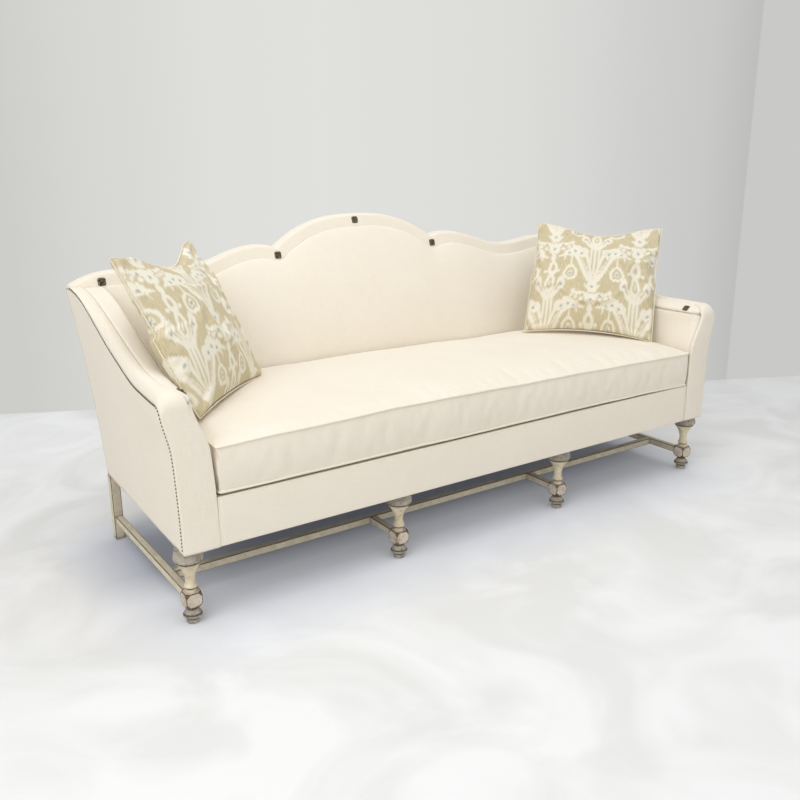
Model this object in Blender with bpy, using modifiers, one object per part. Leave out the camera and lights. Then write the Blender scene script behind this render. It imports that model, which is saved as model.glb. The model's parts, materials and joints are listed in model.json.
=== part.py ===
"""Camelback sofa: scalloped back, swept arms, turned front legs, one bench cushion, two loose pillows.

Metres, +Z up. X runs along the sofa, the front faces -Y, and the origin is on the floor under the
middle of the sofa's outline. "Across" an arm is measured from its inner face outwards.
"""
import math

import bmesh
import bpy
import numpy as np
from mathutils import Matrix, Vector

# Fits
seat_gap = 0.0003
shell_gap = 0.0008

# Whole sofa
leg_side_inset = 0.030
front_leg_count = 4
leg_height = 0.229
half_length = 1.080
front_overhang = 0.055

# Swept sides: the arms and the ends of the back curve outwards, most at the corners, and close in to the rear
corner_sweep = 0.0386
side_taper = 0.018
taper_run = 0.750

# Back: a front plane and a rear plane that lean back by different shares of the height
back_plane_setback = 0.589
back_plane_lean_share = 0.28
rear_plane_setback = 0.690
rear_plane_lean_share = 0.21

# Scalloped top line: rises are above the corners, insets are from the half length
crest_corner_height = 0.850
crest_peak_rise = 0.176
crest_notch_x = 0.350
crest_notch_rise = 0.073
crest_side_peak_run = 0.075
crest_side_peak_rise = 0.086
crest_dip_inset = 0.340
crest_dip_rise = 0.020
crest_outer_peak_inset = 0.130
crest_outer_peak_rise = 0.039
crest_power = 2.5
crest_steps = (7, 2, 5, 4, 4)

# Covers and pads
band_width = 0.045
band_thickness = 0.008
band_fold = 0.012
band_tuck = 0.016
cover_thickness = 0.008
side_levels = 6
back_pad_edge = 0.006
back_pad_crown = 0.036
deck_thickness = 0.020

# Arms
arm_width = 0.105
arm_pad_thickness = 0.030
arm_pad_crown = 0.005
arm_pad_swell_share = 0.93
arm_pad_levels = (7, 3)
arm_bend_steps = 4
arm_run_steps = 14
arm_front_steps = 9
arm_strip_steps = 4
arm_band_steps = 3
arm_settle_rounds = 4
arm_band_recess = 0.003
arm_strip_thickness = 0.0105
arm_bend_radius = 0.025
arm_front_height = 0.680
arm_back_rise = 0.001
arm_gentle_share = 0.05
arm_curve_start = 0.15
arm_curve_end = 0.80

# Roll of an arm's top: down to both sides of its seam, flared and leaning out at the front
arm_seam_across = 0.062
arm_roll_power = 4
arm_outer_drop = 0.029
arm_inner_drop = 0.024
arm_roll_depth = 0.180
arm_roll_run = 0.160
arm_roll_start = 0.40
arm_roll_end = 0.65
arm_front_lean = 0.024
arm_flare = 0.015
arm_lean_run = 0.450
arm_edge_share = 0.85
arm_edge_start = 0.010
arm_edge_run = 0.160
arm_band_setback = 0.006

# Timber
rail_thickness = 0.028
rail_height = 0.116
cross_rail_height = 0.061
cross_rail_width = 0.040
arm_post_width = 0.028
arm_post_depth = 0.046
arm_post_inset = 0.012
arm_rail_inset = 0.020
arm_rail_width = 0.028
arm_rail_drop = 0.009
arm_rail_height = 0.025
back_post_inset = 0.045
back_post_width = 0.045
back_post_depth = 0.044
upright_width = 0.040
upright_depth = 0.030
upright_place_share = 1.5
crest_rail_drop = 0.060
tack_rail_height = 0.050
tack_rail_lift = 0.171
tack_rail_depth = 0.018
tack_rail_reach = 0.025
corner_block_size = 0.070
corner_block_height = 0.050
dust_cover_thickness = 0.002
dust_cover_margin = 0.060

# Springs
spring_count = 5
spring_end_inset = 0.175
spring_wire_radius = 0.0018
spring_half_width = 0.025
spring_wave = 0.080
spring_arch = 0.004
spring_points_per_wave = 6
spring_front_inset = 0.014
spring_rear_inset = 0.015

# Turned front legs, stretchers and plain rear legs
leg_disc_radius = 0.050
leg_block_size = 0.060
leg_block_height = 0.052
leg_block_centre = 0.0735
leg_block_corner = 0.016
leg_segments = 16
stretcher_width = 0.024
stretcher_height = 0.028
stretcher_centre = 0.0735
medial_setback = 0.165
rear_leg_size = 0.038
rear_leg_cover = 0.021
rear_leg_round = 0.003

# Seat cushion
cushion_side_clearance = 0.003
cushion_front_proud = 0.002
cushion_back_tuck = 0.027
cushion_corner_radius = 0.028
cushion_border_height = 0.1282
cushion_base_tuck = 0.030
cushion_base_roll = 0.008
cushion_border_bulge = 0.0015
cushion_seam_step = 0.001
cushion_welt_arch = 0.012
cushion_crown = 0.031
cushion_welt_radius = 0.0035
cushion_pull_in = 0.003
cushion_pull_run_share = 0.75
crown_inset_shares = (0.08, 0.2, 0.36, 0.55, 0.75, 0.94)

# Loose pillows, square with knife edges
pillow_width = 0.500
pillow_height = 0.512
pillow_thickness = 0.180
pillow_edge_thickness = 0.004
pillow_side_pull_share = 0.05
pillow_bottom_pull_share = 0.075
pillow_top_pull_share = 0.15
pillow_cells = 14
left_pillow_inset = 0.214
left_pillow_clearance = 0.297
left_pillow_rise = 0.0362
left_pillow_turn = math.radians(44.6)
left_pillow_lean = math.radians(27.5)
left_pillow_roll = math.radians(0.6)
right_pillow_inset = 0.232
right_pillow_clearance = 0.321
right_pillow_rise = 0.0255
right_pillow_turn = math.radians(-48.0)
right_pillow_lean = math.radians(31.0)
right_pillow_roll = math.radians(2.4)

# Rosette nail heads
rosette_radius = 0.0145
rosette_height = 0.009
rosette_lobe_share = 0.10
rosette_segments = 16
rosette_step_shares = ((1.0, 0.0), (1.0, 0.25), (0.78, 0.5), (0.5, 0.62), (0.22, 1.0))
centre_rosette_drop = 0.0215
notch_rosette_drop = 0.026
corner_rosette_inset = 0.084
corner_rosette_drop = 0.026
arm_rosette_setback = 0.020
arm_rosette_across = 0.014

# Places worked out from the sizes above
arm_inner_x = half_length - arm_width
back_half_length = half_length - side_taper
crest_corner_x = back_half_length + corner_sweep
crest_peak_height = crest_corner_height + crest_peak_rise
crest_notch_height = crest_corner_height + crest_notch_rise
crest_side_peak_x = crest_notch_x + crest_side_peak_run
crest_side_peak_height = crest_corner_height + crest_side_peak_rise
crest_dip_x = half_length - crest_dip_inset
crest_dip_height = crest_corner_height + crest_dip_rise
crest_outer_peak_x = half_length - crest_outer_peak_inset
crest_outer_peak_height = crest_corner_height + crest_outer_peak_rise
crest_rail_bottom = crest_corner_height - crest_rail_drop
corner_rosette_x = half_length - corner_rosette_inset
arm_rise = crest_corner_height + arm_back_rise - arm_front_height
tack_rail_bottom = leg_height + tack_rail_lift
tack_rail_half_length = arm_inner_x + tack_rail_reach
rear_leg_setback = rear_plane_setback - rear_leg_cover
back_reach = rear_plane_setback + rear_plane_lean_share * (crest_peak_height - leg_height)
front_reach = front_overhang + cushion_front_proud + cushion_welt_radius
front_leg_y = (front_reach - back_reach) / 2
front_face_y = front_leg_y - front_overhang
arm_core_y = front_face_y + arm_strip_thickness + 2 * shell_gap
arm_roll_base = arm_front_height - arm_roll_depth
arm_bend_base = arm_front_height - arm_bend_radius
rail_bottom = leg_height + seat_gap
rail_top = rail_bottom + rail_height
spring_bed = rail_top + seat_gap + spring_wire_radius
deck_bottom = spring_bed + spring_wire_radius + spring_arch + seat_gap
deck_top = deck_bottom + deck_thickness
spring_pitch = 2 * (arm_inner_x - spring_end_inset) / (spring_count - 1)
cushion_half_length = arm_inner_x - cushion_side_clearance
cushion_back_setback = back_plane_setback + cushion_back_tuck
cushion_welt_height = deck_top + seat_gap + cushion_border_height
leg_span = 2 * (half_length - leg_side_inset)
leg_step = leg_span / (front_leg_count - 1)
leg_places = [leg_step * (i - (front_leg_count - 1) / 2) for i in range(front_leg_count)]

# Leg profile, top to bottom: radius as a share of the disc's, height as a share of the leg's
leg_profile_shares = (
    (0.00, 1.000), (0.88, 1.000), (1.00, 0.955), (1.00, 0.905), (0.90, 0.865), (0.80, 0.850),
    (0.84, 0.825), (0.80, 0.790), (0.66, 0.730), (0.50, 0.655), (0.39, 0.570), (0.35, 0.510),
    (0.46, 0.485), (0.44, 0.460), (0.34, 0.440), (0.34, 0.200), (0.29, 0.180), (0.48, 0.150),
    (0.66, 0.105), (0.64, 0.075), (0.50, 0.058), (0.54, 0.040), (0.54, 0.010), (0.50, 0.000),
    (0.00, 0.000),
)

for old in list(bpy.data.objects):
    bpy.data.objects.remove(old, do_unlink=True)

sofa = bpy.data.collections.new("camelback_sofa")
bpy.context.scene.collection.children.link(sofa)


def make_material(name, colour, roughness, metallic=0.0):
    """A Principled BSDF with one base colour (linear), roughness and metallic value."""
    material = bpy.data.materials.new(name)
    material.use_nodes = True
    shader = material.node_tree.nodes["Principled BSDF"]
    shader.inputs["Base Color"].default_value = (*colour, 1.0)
    shader.inputs["Roughness"].default_value = roughness
    shader.inputs["Metallic"].default_value = metallic
    return material


cover_fabric = make_material("cream_linen", (0.80, 0.73, 0.62), 0.9)
pillow_fabric = make_material("ikat_cotton", (0.62, 0.55, 0.38), 0.9)
deck_fabric = make_material("deck_felt", (0.72, 0.68, 0.60), 0.95)
dust_fabric = make_material("dust_cloth", (0.03, 0.03, 0.035), 0.95)
frame_wood = make_material("kiln_dried_hardwood", (0.46, 0.32, 0.18), 0.7)
painted_wood = make_material("distressed_painted_wood", (0.62, 0.54, 0.38), 0.55)
spring_steel = make_material("spring_steel", (0.25, 0.25, 0.26), 0.4, 1.0)
aged_bronze = make_material("aged_bronze", (0.16, 0.13, 0.08), 0.45, 1.0)


def sweep(z):
    """How far a side has moved outwards at height z: by the square of the height above the legs."""
    rise_share = max(z - leg_height, 0.0) / (crest_corner_height - leg_height)
    return corner_sweep * rise_share * rise_share


def taper(y):
    """How far a side has closed in at depth y."""
    return side_taper * min(max((y - front_face_y) / taper_run, 0.0), 1.0)


def back_plane_y(z):
    """Front surface of the back's border band at height z."""
    return front_leg_y + back_plane_setback + back_plane_lean_share * (z - leg_height)


def rear_plane_y(z):
    """Rear surface of the sofa at height z."""
    return front_leg_y + rear_plane_setback + rear_plane_lean_share * (z - leg_height)


def ease(t):
    """Cosine ramp from 0 to 1."""
    return 0.5 - 0.5 * math.cos(math.pi * min(max(t, 0.0), 1.0))


def crest(x):
    """Height of the scalloped top line at x: centre arch, notch, side arch, dip, outer arch, corner."""
    x = abs(x)
    if x <= crest_notch_x:
        rise = crest_peak_height - crest_notch_height
        return crest_notch_height + rise * (1 - (x / crest_notch_x) ** crest_power)
    if x <= crest_side_peak_x:
        t = (crest_side_peak_x - x) / (crest_side_peak_x - crest_notch_x)
        return crest_side_peak_height - (crest_side_peak_height - crest_notch_height) * t * t
    if x <= crest_dip_x:
        t = (x - crest_side_peak_x) / (crest_dip_x - crest_side_peak_x)
        return crest_side_peak_height + (crest_dip_height - crest_side_peak_height) * ease(t)
    if x <= crest_outer_peak_x:
        t = (x - crest_dip_x) / (crest_outer_peak_x - crest_dip_x)
        return crest_dip_height + (crest_outer_peak_height - crest_dip_height) * ease(t)
    t = (x - crest_outer_peak_x) / (crest_corner_x - crest_outer_peak_x)
    return crest_outer_peak_height + (crest_corner_height - crest_outer_peak_height) * t * t


def crest_stations():
    """X places along the top line, closest together at the notches, from the left corner to the right."""
    marks = (0.0, crest_notch_x, crest_side_peak_x, crest_dip_x, crest_outer_peak_x, crest_corner_x)
    half = [marks[i] + (marks[i + 1] - marks[i]) * j / steps
            for i, steps in enumerate(crest_steps) for j in range(steps)] + [crest_corner_x]
    return [-x for x in reversed(half[1:])] + half


def pad_line(x):
    """The line a band's width inside the top line: the lowest circle of that radius hung from the line."""
    near = np.linspace(x - band_width, x + band_width, 41)[1:-1]
    hang = np.sqrt(band_width ** 2 - (near - x) ** 2)
    line = [crest(min(abs(u), crest_corner_x)) for u in near]
    return float(np.min(np.array(line) - hang))


def arm_top(y):
    """Height of an arm's top at depth y: a gentle slope and a smooth step up to the back corner."""
    depth = y - front_leg_y
    reach = back_plane_setback + back_plane_lean_share * (crest_corner_height - leg_height)
    t = min(max((depth - arm_curve_start) / (arm_curve_end - arm_curve_start), 0.0), 1.0)
    gentle = max(depth, 0.0) / reach
    return arm_front_height + arm_rise * (arm_gentle_share * gentle
                                          + (1 - arm_gentle_share) * t * t * (3 - 2 * t))


def arm_straight_under(y):
    """Height just under an arm's top strip at depth y, as if the strip had no front bend."""
    slope = (arm_top(y + seat_gap) - arm_top(y)) / seat_gap
    return arm_top(y) - arm_strip_thickness * math.hypot(1.0, slope) - shell_gap


def arm_over(y):
    """Height of an arm's top at depth y, falling away round the front bend."""
    run = max(front_face_y + arm_bend_radius - y, 0.0)
    return arm_top(y) - arm_bend_radius + math.sqrt(arm_bend_radius ** 2 - run ** 2)


def arm_under(y):
    """Height just under an arm's top strip at depth y, which falls away round the front bend."""
    bend_y = front_face_y + arm_bend_radius
    if y >= bend_y:
        return arm_straight_under(y)
    inner = arm_bend_radius - arm_strip_thickness
    run = min(bend_y - y + shell_gap, inner)
    return arm_top(y) - arm_bend_radius + math.sqrt(inner ** 2 - run ** 2) - shell_gap


def share(step, steps):
    return step / steps


def finish_object(name, mesh, material, smooth_angle=None):
    """Link a mesh as a sofa piece with one material, its faces turned outwards."""
    cleaned = bmesh.new()
    cleaned.from_mesh(mesh)
    bmesh.ops.recalc_face_normals(cleaned, faces=cleaned.faces)
    cleaned.to_mesh(mesh)
    cleaned.free()
    mesh.materials.clear()
    mesh.materials.append(material)
    if smooth_angle is not None:
        mesh.shade_smooth()
        mesh.set_sharp_from_angle(angle=smooth_angle)
    piece = bpy.data.objects.new(name, mesh)
    sofa.objects.link(piece)
    return piece


def ladder(near, far):
    """End faces between two edges of a bowed end, so that no face spans the bow. Far has fewer points."""
    faces = []
    i = j = 0
    while i < len(near) - 1 or j < len(far) - 1:
        step_near = share(i + 1, len(near) - 1)
        step_far = share(j + 1, len(far) - 1)
        if abs(step_near - step_far) < share(1, 4 * len(near)):
            faces.append((near[i], near[i + 1], far[j + 1], far[j]))
            i, j = i + 1, j + 1
        elif step_near < step_far:
            faces.append((near[i], near[i + 1], far[j]))
            i += 1
        else:
            faces.append((near[i], far[j + 1], far[j]))
            j += 1
    return faces


def loft(name, rings, material, smooth_angle=math.radians(35), ends=None):
    """Skin a row of rings that have as many points each, and close both ends."""
    mesh = bpy.data.meshes.new(name)
    count = len(rings[0])
    ends = ends or [tuple(range(count))]
    faces = [tuple(reversed(end)) for end in ends]
    for i in range(len(rings) - 1):
        low = i * count
        for j in range(count):
            k = (j + 1) % count
            faces.append((low + j, low + k, low + count + k, low + count + j))
    last = (len(rings) - 1) * count
    faces += [tuple(last + j for j in end) for end in ends]
    mesh.from_pydata([point for ring in rings for point in ring], [], faces)
    return finish_object(name, mesh, material, smooth_angle)


def box(name, low, high, material, rounding=0.0):
    """A cuboid between two corners, with its edges rounded where a radius is given."""
    mesh = bpy.data.meshes.new(name)
    solid = bmesh.new()
    size = [b - a for a, b in zip(low, high)]
    middle = [(a + b) / 2 for a, b in zip(low, high)]
    bmesh.ops.create_cube(solid, size=1.0, matrix=Matrix.LocRotScale(Vector(middle), None, Vector(size)))
    solid.to_mesh(mesh)
    solid.free()
    piece = finish_object(name, mesh, material)
    if rounding:
        bevel = piece.modifiers.new("rounding", "BEVEL")
        bevel.width = rounding
        bevel.segments = 2
    return piece


def side_point(side, across, y, z):
    """A point on an arm, across its thickness from the inner face, swept outwards with height."""
    return (side * (arm_inner_x + across + sweep(z) - taper(y)), y, z)


def smooth_step(t):
    """Cubic ramp from 0 to 1."""
    t = min(max(t, 0.0), 1.0)
    return t * t * (3 - 2 * t)


def cover_point(side, across, y, z):
    """A point of an arm's covers, rolled down by a power of its distance from the seam on top."""
    level = smooth_step((z - arm_roll_base) / arm_roll_run)
    outer = max((across - arm_seam_across) / (arm_width - arm_seam_across), 0.0) ** arm_roll_power
    inner = max(1 - across / arm_seam_across, 0.0)
    rear = 1 - smooth_step((y - front_leg_y - arm_roll_start) / (arm_roll_end - arm_roll_start))
    lean = 1 - smooth_step((y - front_face_y) / arm_lean_run)
    drop = level * rear * (arm_outer_drop * outer + arm_inner_drop * inner ** 2)
    aside = level * lean * (arm_front_lean * inner + arm_flare * across / arm_width)
    return side_point(side, across + aside, y, z - drop)


def strip_inner_edge(y, z):
    """Inner edge of an arm's strip: in line with the face below, then drawn in to the seam on top."""
    low = min(max((z - arm_roll_base) / (arm_bend_base - arm_roll_base), 0.0), 1.0)
    far = min(max((y - front_face_y - arm_edge_start) / arm_edge_run, 0.0), 1.0)
    start = arm_edge_share * arm_pad_thickness
    return start * low * low + (arm_seam_across - start) * (1 - (1 - far) ** 3)


def front_leg_mesh():
    """One turned leg with its square, corner-cut block, joined into a single solid."""
    profile = bpy.data.meshes.new("leg_profile")
    points = [(r * leg_disc_radius, 0.0, h * leg_height) for r, h in leg_profile_shares]
    profile.from_pydata(points, [(i, i + 1) for i in range(len(points) - 1)], [])
    turned = bpy.data.objects.new("leg_turning", profile)
    sofa.objects.link(turned)
    screw = turned.modifiers.new("turning", "SCREW")
    screw.angle = math.tau
    screw.steps = leg_segments
    screw.render_steps = leg_segments
    screw.use_merge_vertices = True
    screw.merge_threshold = 0.0001
    block_mesh = bpy.data.meshes.new("leg_block")
    solid = bmesh.new()
    size = Vector((leg_block_size, leg_block_size, leg_block_height))
    place = Vector((0, 0, leg_block_centre))
    bmesh.ops.create_cube(solid, size=1.0, matrix=Matrix.LocRotScale(place, None, size))
    bmesh.ops.bevel(solid, geom=solid.verts[:], offset=leg_block_corner, segments=1, affect="VERTICES")
    solid.to_mesh(block_mesh)
    solid.free()
    block = bpy.data.objects.new("leg_block", block_mesh)
    tools = bpy.data.collections.new("joining_tools")
    bpy.context.scene.collection.children.link(tools)
    tools.objects.link(block)
    block.hide_render = True
    block.display_type = "WIRE"
    join = turned.modifiers.new("block", "BOOLEAN")
    join.operation = "UNION"
    join.object = block
    evaluated = turned.evaluated_get(bpy.context.evaluated_depsgraph_get())
    mesh = bpy.data.meshes.new_from_object(evaluated)
    for helper in (turned, block):
        bpy.data.objects.remove(helper, do_unlink=True)
    bpy.data.collections.remove(tools)
    mesh.name = "turned_leg"
    mesh.materials.clear()
    mesh.materials.append(painted_wood)
    mesh.shade_smooth()
    mesh.set_sharp_from_angle(angle=math.radians(35))
    return mesh


def add_legs():
    """Four turned legs in front and four plain square ones behind."""
    mesh = front_leg_mesh()
    for i, x in enumerate(leg_places):
        leg = bpy.data.objects.new(f"front_leg_{i + 1}", mesh)
        leg.location = (x, front_leg_y, 0)
        sofa.objects.link(leg)
    half = rear_leg_size / 2
    y = front_leg_y + rear_leg_setback
    for i, x in enumerate(leg_places):
        box(f"rear_leg_{i + 1}", (x - half, y - half, 0), (x + half, y + half, leg_height),
            painted_wood, rear_leg_round)


def add_stretchers():
    """Side stretchers from front to rear legs, a long medial one, and short ones to the middle legs."""
    low = stretcher_centre - stretcher_height / 2
    high = low + stretcher_height
    half = stretcher_width / 2
    start = front_leg_y + leg_block_size / 2 + seat_gap
    medial_front = front_leg_y + medial_setback - half
    end = front_leg_y + rear_leg_setback - rear_leg_size / 2 - seat_gap
    for side, word in ((-1, "left"), (1, "right")):
        x = side * leg_span / 2
        box(f"side_stretcher_{word}", (x - half, start, low), (x + half, end, high), painted_wood)
        x = side * leg_step / 2
        box(f"short_stretcher_{word}", (x - half, start, low), (x + half, medial_front - seat_gap, high),
            painted_wood)
    reach = leg_span / 2 - half - seat_gap
    box("medial_stretcher", (-reach, medial_front, low), (reach, medial_front + stretcher_width, high),
        painted_wood)


def rear_bar(name, low_x, high_x, low_z, high_z, depth, ahead=0.0, steps=1):
    """A bar just inside the outside back, leaning with it. The ends may be functions of the height."""
    rings = []
    for i in range(steps + 1):
        z = low_z + (high_z - low_z) * share(i, steps)
        rear = rear_plane_y(z) - cover_thickness - seat_gap - ahead
        left, right = low_x(z), high_x(z)
        rings.append([(left, rear - depth, z), (right, rear - depth, z), (right, rear, z), (left, rear, z)])
    return loft(name, rings, frame_wood)


def add_seat_frame():
    """Rails, cross rails and corner blocks of the seat, standing on the legs."""
    post_x = arm_inner_x + arm_width - arm_post_inset
    inner_post_x = post_x - arm_post_width
    front_y = arm_core_y
    front_rear_y = front_y + rail_thickness
    box("front_rail", (-inner_post_x + seat_gap, front_y, rail_bottom),
        (inner_post_x - seat_gap, front_rear_y, rail_top), frame_wood)
    rear_bar("back_rail", lambda z: seat_gap - back_post_x(z), lambda z: back_post_x(z) - seat_gap,
             rail_bottom, rail_top, upright_depth)
    back_front_y = rear_plane_y(rail_bottom) - cover_thickness - seat_gap - back_post_depth
    post_rear_y = front_y + arm_post_inset / 2 + arm_post_depth
    for side, word in ((-1, "left"), (1, "right")):
        rings = []
        for y in (post_rear_y + seat_gap, back_front_y - seat_gap):
            near, far = (side * (post_x - inset - taper(y)) for inset in (rail_thickness, 0))
            rings.append([(near, y, rail_bottom), (far, y, rail_bottom),
                          (far, y, rail_top), (near, y, rail_top)])
        loft(f"side_rail_{word}", rings, frame_wood)
        x = side * leg_step / 2
        box(f"cross_rail_{word}", (x - cross_rail_width / 2, front_rear_y + seat_gap, rail_bottom),
            (x + cross_rail_width / 2, back_front_y + back_post_depth - upright_depth - seat_gap,
             rail_bottom + cross_rail_height), frame_wood)
        block_x = post_x - rail_thickness - taper(front_rear_y + corner_block_size)
        x = side * (min(inner_post_x, block_x) - seat_gap)
        inner = x - side * corner_block_size
        y = front_rear_y + seat_gap
        rings = [[(x, y, z), (inner, y, z), (x, y + corner_block_size, z)]
                 for z in (rail_bottom, rail_bottom + corner_block_height)]
        loft(f"corner_block_{word}", rings, frame_wood)
    leg_clear = front_leg_y + dust_cover_margin
    box("dust_cover", (-arm_inner_x, leg_clear, leg_height - dust_cover_thickness),
        (arm_inner_x, back_front_y - seat_gap, leg_height), dust_fabric)


def back_post_x(z):
    """Inner face of a back post at height z."""
    return arm_inner_x + back_post_inset + sweep(z) - side_taper


def add_back_frame():
    """Corner posts, uprights, lower tacking rail and the scalloped crest rail."""
    top = crest_rail_bottom - seat_gap
    for side, word in ((-1, "left"), (1, "right")):
        rear_bar(f"back_post_{word}", lambda z, s=side: s * back_post_x(z),
                 lambda z, s=side: s * (back_post_x(z) + back_post_width),
                 rail_bottom, top, back_post_depth, steps=5)
        x = side * upright_place_share * spring_pitch
        rear_bar(f"back_upright_{word}", lambda z, c=x: c - upright_width / 2,
                 lambda z, c=x: c + upright_width / 2, rail_top + seat_gap, top, upright_depth)
    rear_bar("back_tack_rail", lambda z: -tack_rail_half_length, lambda z: tack_rail_half_length,
             tack_rail_bottom, tack_rail_bottom + tack_rail_height, tack_rail_depth,
             ahead=upright_depth + seat_gap)
    rings = []
    for x, height in cover_stations():
        reach = [shell_reach(z, rear_plane_y(z))
                 for z in (crest_rail_bottom, crest_corner_height - band_fold)]
        low_x = x * reach[0] / reach[1]
        rings.append([(low_x if z < height else x,
                       back_plane_y(z) + band_thickness + shell_gap if front else
                       rear_plane_y(z) - cover_thickness - seat_gap, z)
                      for front, z in ((True, height), (False, height),
                                       (False, crest_rail_bottom), (True, crest_rail_bottom))])
    loft("crest_rail", rings, frame_wood)


def shell_reach(z, y):
    """Half length at height z and depth y of the pieces between the outside arm panels."""
    return half_length - cover_thickness - shell_gap + sweep(z) - taper(y)


def pad_reach(z, y):
    """Half length at height z and depth y of the pad between the arms."""
    return arm_inner_x - 5 * seat_gap + sweep(z) - taper(y)


def cover_stations():
    """Stations of the pieces under the band's folded edge: they stop at the outside arm panels."""
    line = []
    for x in crest_stations():
        z = crest(x) - band_fold
        line.append((x * (back_half_length + sweep(z)) / (back_half_length + sweep(crest(x))), z - shell_gap))
    places, heights = zip(*line)
    top = crest_corner_height - band_fold
    limit = shell_reach(top, rear_plane_y(top))
    end_height = float(np.interp(limit, places, heights))
    inner = [(x, z) for x, z in line if abs(x) < limit - seat_gap]
    return [(-limit, end_height)] + inner + [(limit, end_height)]


def add_back_covers():
    """Border band folded over the crest, crowned inside back pad and flat outside back."""
    rings = []
    for x in crest_stations():
        top = crest(x)
        spread = x / (back_half_length + sweep(top))
        fold = top - band_fold
        low = top - band_width - band_tuck
        levels = ((top, 0, False), (top, 1, False), (fold, 1, False), (fold, 2, False),
                  (fold - seat_gap, 2, True), (low, 2, True), (low, 0, True), (fold - seat_gap, 0, True),
                  (fold, 0, False))
        ring = []
        for z, kind, inside in levels:
            y = (back_plane_y(z), rear_plane_y(z), back_plane_y(z) + band_thickness)[kind]
            ring.append((spread * (shell_reach(z, y) if inside else half_length + sweep(z) - taper(y)), y, z))
        rings.append(ring)
    loft("back_border_band", rings, cover_fabric, ends=[(0, 1, 2, 3, 8), (3, 4, 7, 8), (4, 5, 6, 7)])

    rings = []
    levels = side_levels
    stations = cover_stations()
    limit = stations[-1][0]
    for x, height in stations:
        spread = x / limit
        front, rear = [], []
        for k in range(levels + 1):
            z = leg_height + (height - leg_height) * share(k, levels)
            place = x if k == levels else spread * shell_reach(z, rear_plane_y(z))
            rear.append((place, rear_plane_y(z), z))
            front.append((place, rear_plane_y(z) - cover_thickness, z))
        rings.append(front + rear[::-1])
    count = 2 * (levels + 1)
    side_ends = ladder(range(levels + 1), range(count - 1, levels, -1))
    loft("outside_back", rings, cover_fabric, ends=side_ends)

    rings = []
    rows = 8
    bottom = deck_top + seat_gap
    half_count = sum(crest_steps)
    top_limit = pad_reach(crest_corner_height - band_width, back_plane_y(crest_corner_height))
    for i in range(-half_count, half_count + 1):
        x_top = crest_stations()[i + half_count] * top_limit / crest_corner_x
        top = pad_line(x_top)
        spread = x_top / top_limit
        side_fall = max(1 - abs(spread) ** 8, 0.0) ** 0.5
        front = []
        for k in range(rows + 1):
            v = share(k, rows)
            z = bottom + (top - bottom) * (1 - (1 - v) ** 1.3)
            swell = max(math.sin(math.pi * min(1.0, (z - bottom) / (top - bottom))), 0.0) ** 0.6
            y = back_plane_y(z) - seat_gap - back_pad_edge - back_pad_crown * swell * side_fall
            front.append((spread * pad_reach(z, y), y, z))
        rear = []
        for k in range(rows, -1, -2):
            z = front[k][2]
            y = back_plane_y(z) - seat_gap
            rear.append((spread * pad_reach(z, y), y, z))
        rings.append(front + rear)
    side_ends = ladder(range(rows + 1), range(len(rings[0]) - 1, rows, -1))
    loft("inside_back_pad", rings, cover_fabric, ends=side_ends)


def arm_places():
    """Depths of an arm's sections along its top: close together round the front bend, then even."""
    bend_y = front_face_y + arm_bend_radius
    run = bend_y - arm_core_y
    end = back_plane_y(crest_corner_height)
    bend = [bend_y - run * math.cos(math.radians(90) * share(i, arm_bend_steps))
            for i in range(arm_bend_steps)]
    return bend + [bend_y + (end - bend_y) * share(i, arm_run_steps) for i in range(arm_run_steps + 1)]


def arm_section(place, end_plane, line, fall, ceiling):
    """Top height of a piece that lies `fall` under a line of the arm, and its depth at any height."""
    end = back_plane_y(crest_corner_height)
    s = (place - arm_core_y) / (end - arm_core_y)

    def depth(z):
        return place + s * (end_plane(z) - end)

    top = line(place) - fall
    for _ in range(arm_settle_rounds):
        top = min(line(depth(top)) - fall, ceiling)
    return top, depth


def arm_path():
    """Outer line of an arm's strip in the YZ plane: up the front, round the bend, up to the back."""
    points = [(front_face_y, leg_height + (arm_bend_base - leg_height) * share(i, arm_front_steps))
              for i in range(arm_front_steps)]
    for i in range(7):
        angle = math.radians(90) * share(i, 6)
        y = front_face_y + arm_bend_radius * (1 - math.cos(angle))
        points.append((y, arm_top(y) - arm_bend_radius * (1 - math.sin(angle))))
    start = front_face_y + arm_bend_radius
    end = back_plane_y(crest_corner_height) - seat_gap
    points += [(y, arm_top(y)) for y in (start + (end - start) * share(i, arm_run_steps)
                                         for i in range(1, arm_run_steps + 1))]
    return np.array(points)


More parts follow.
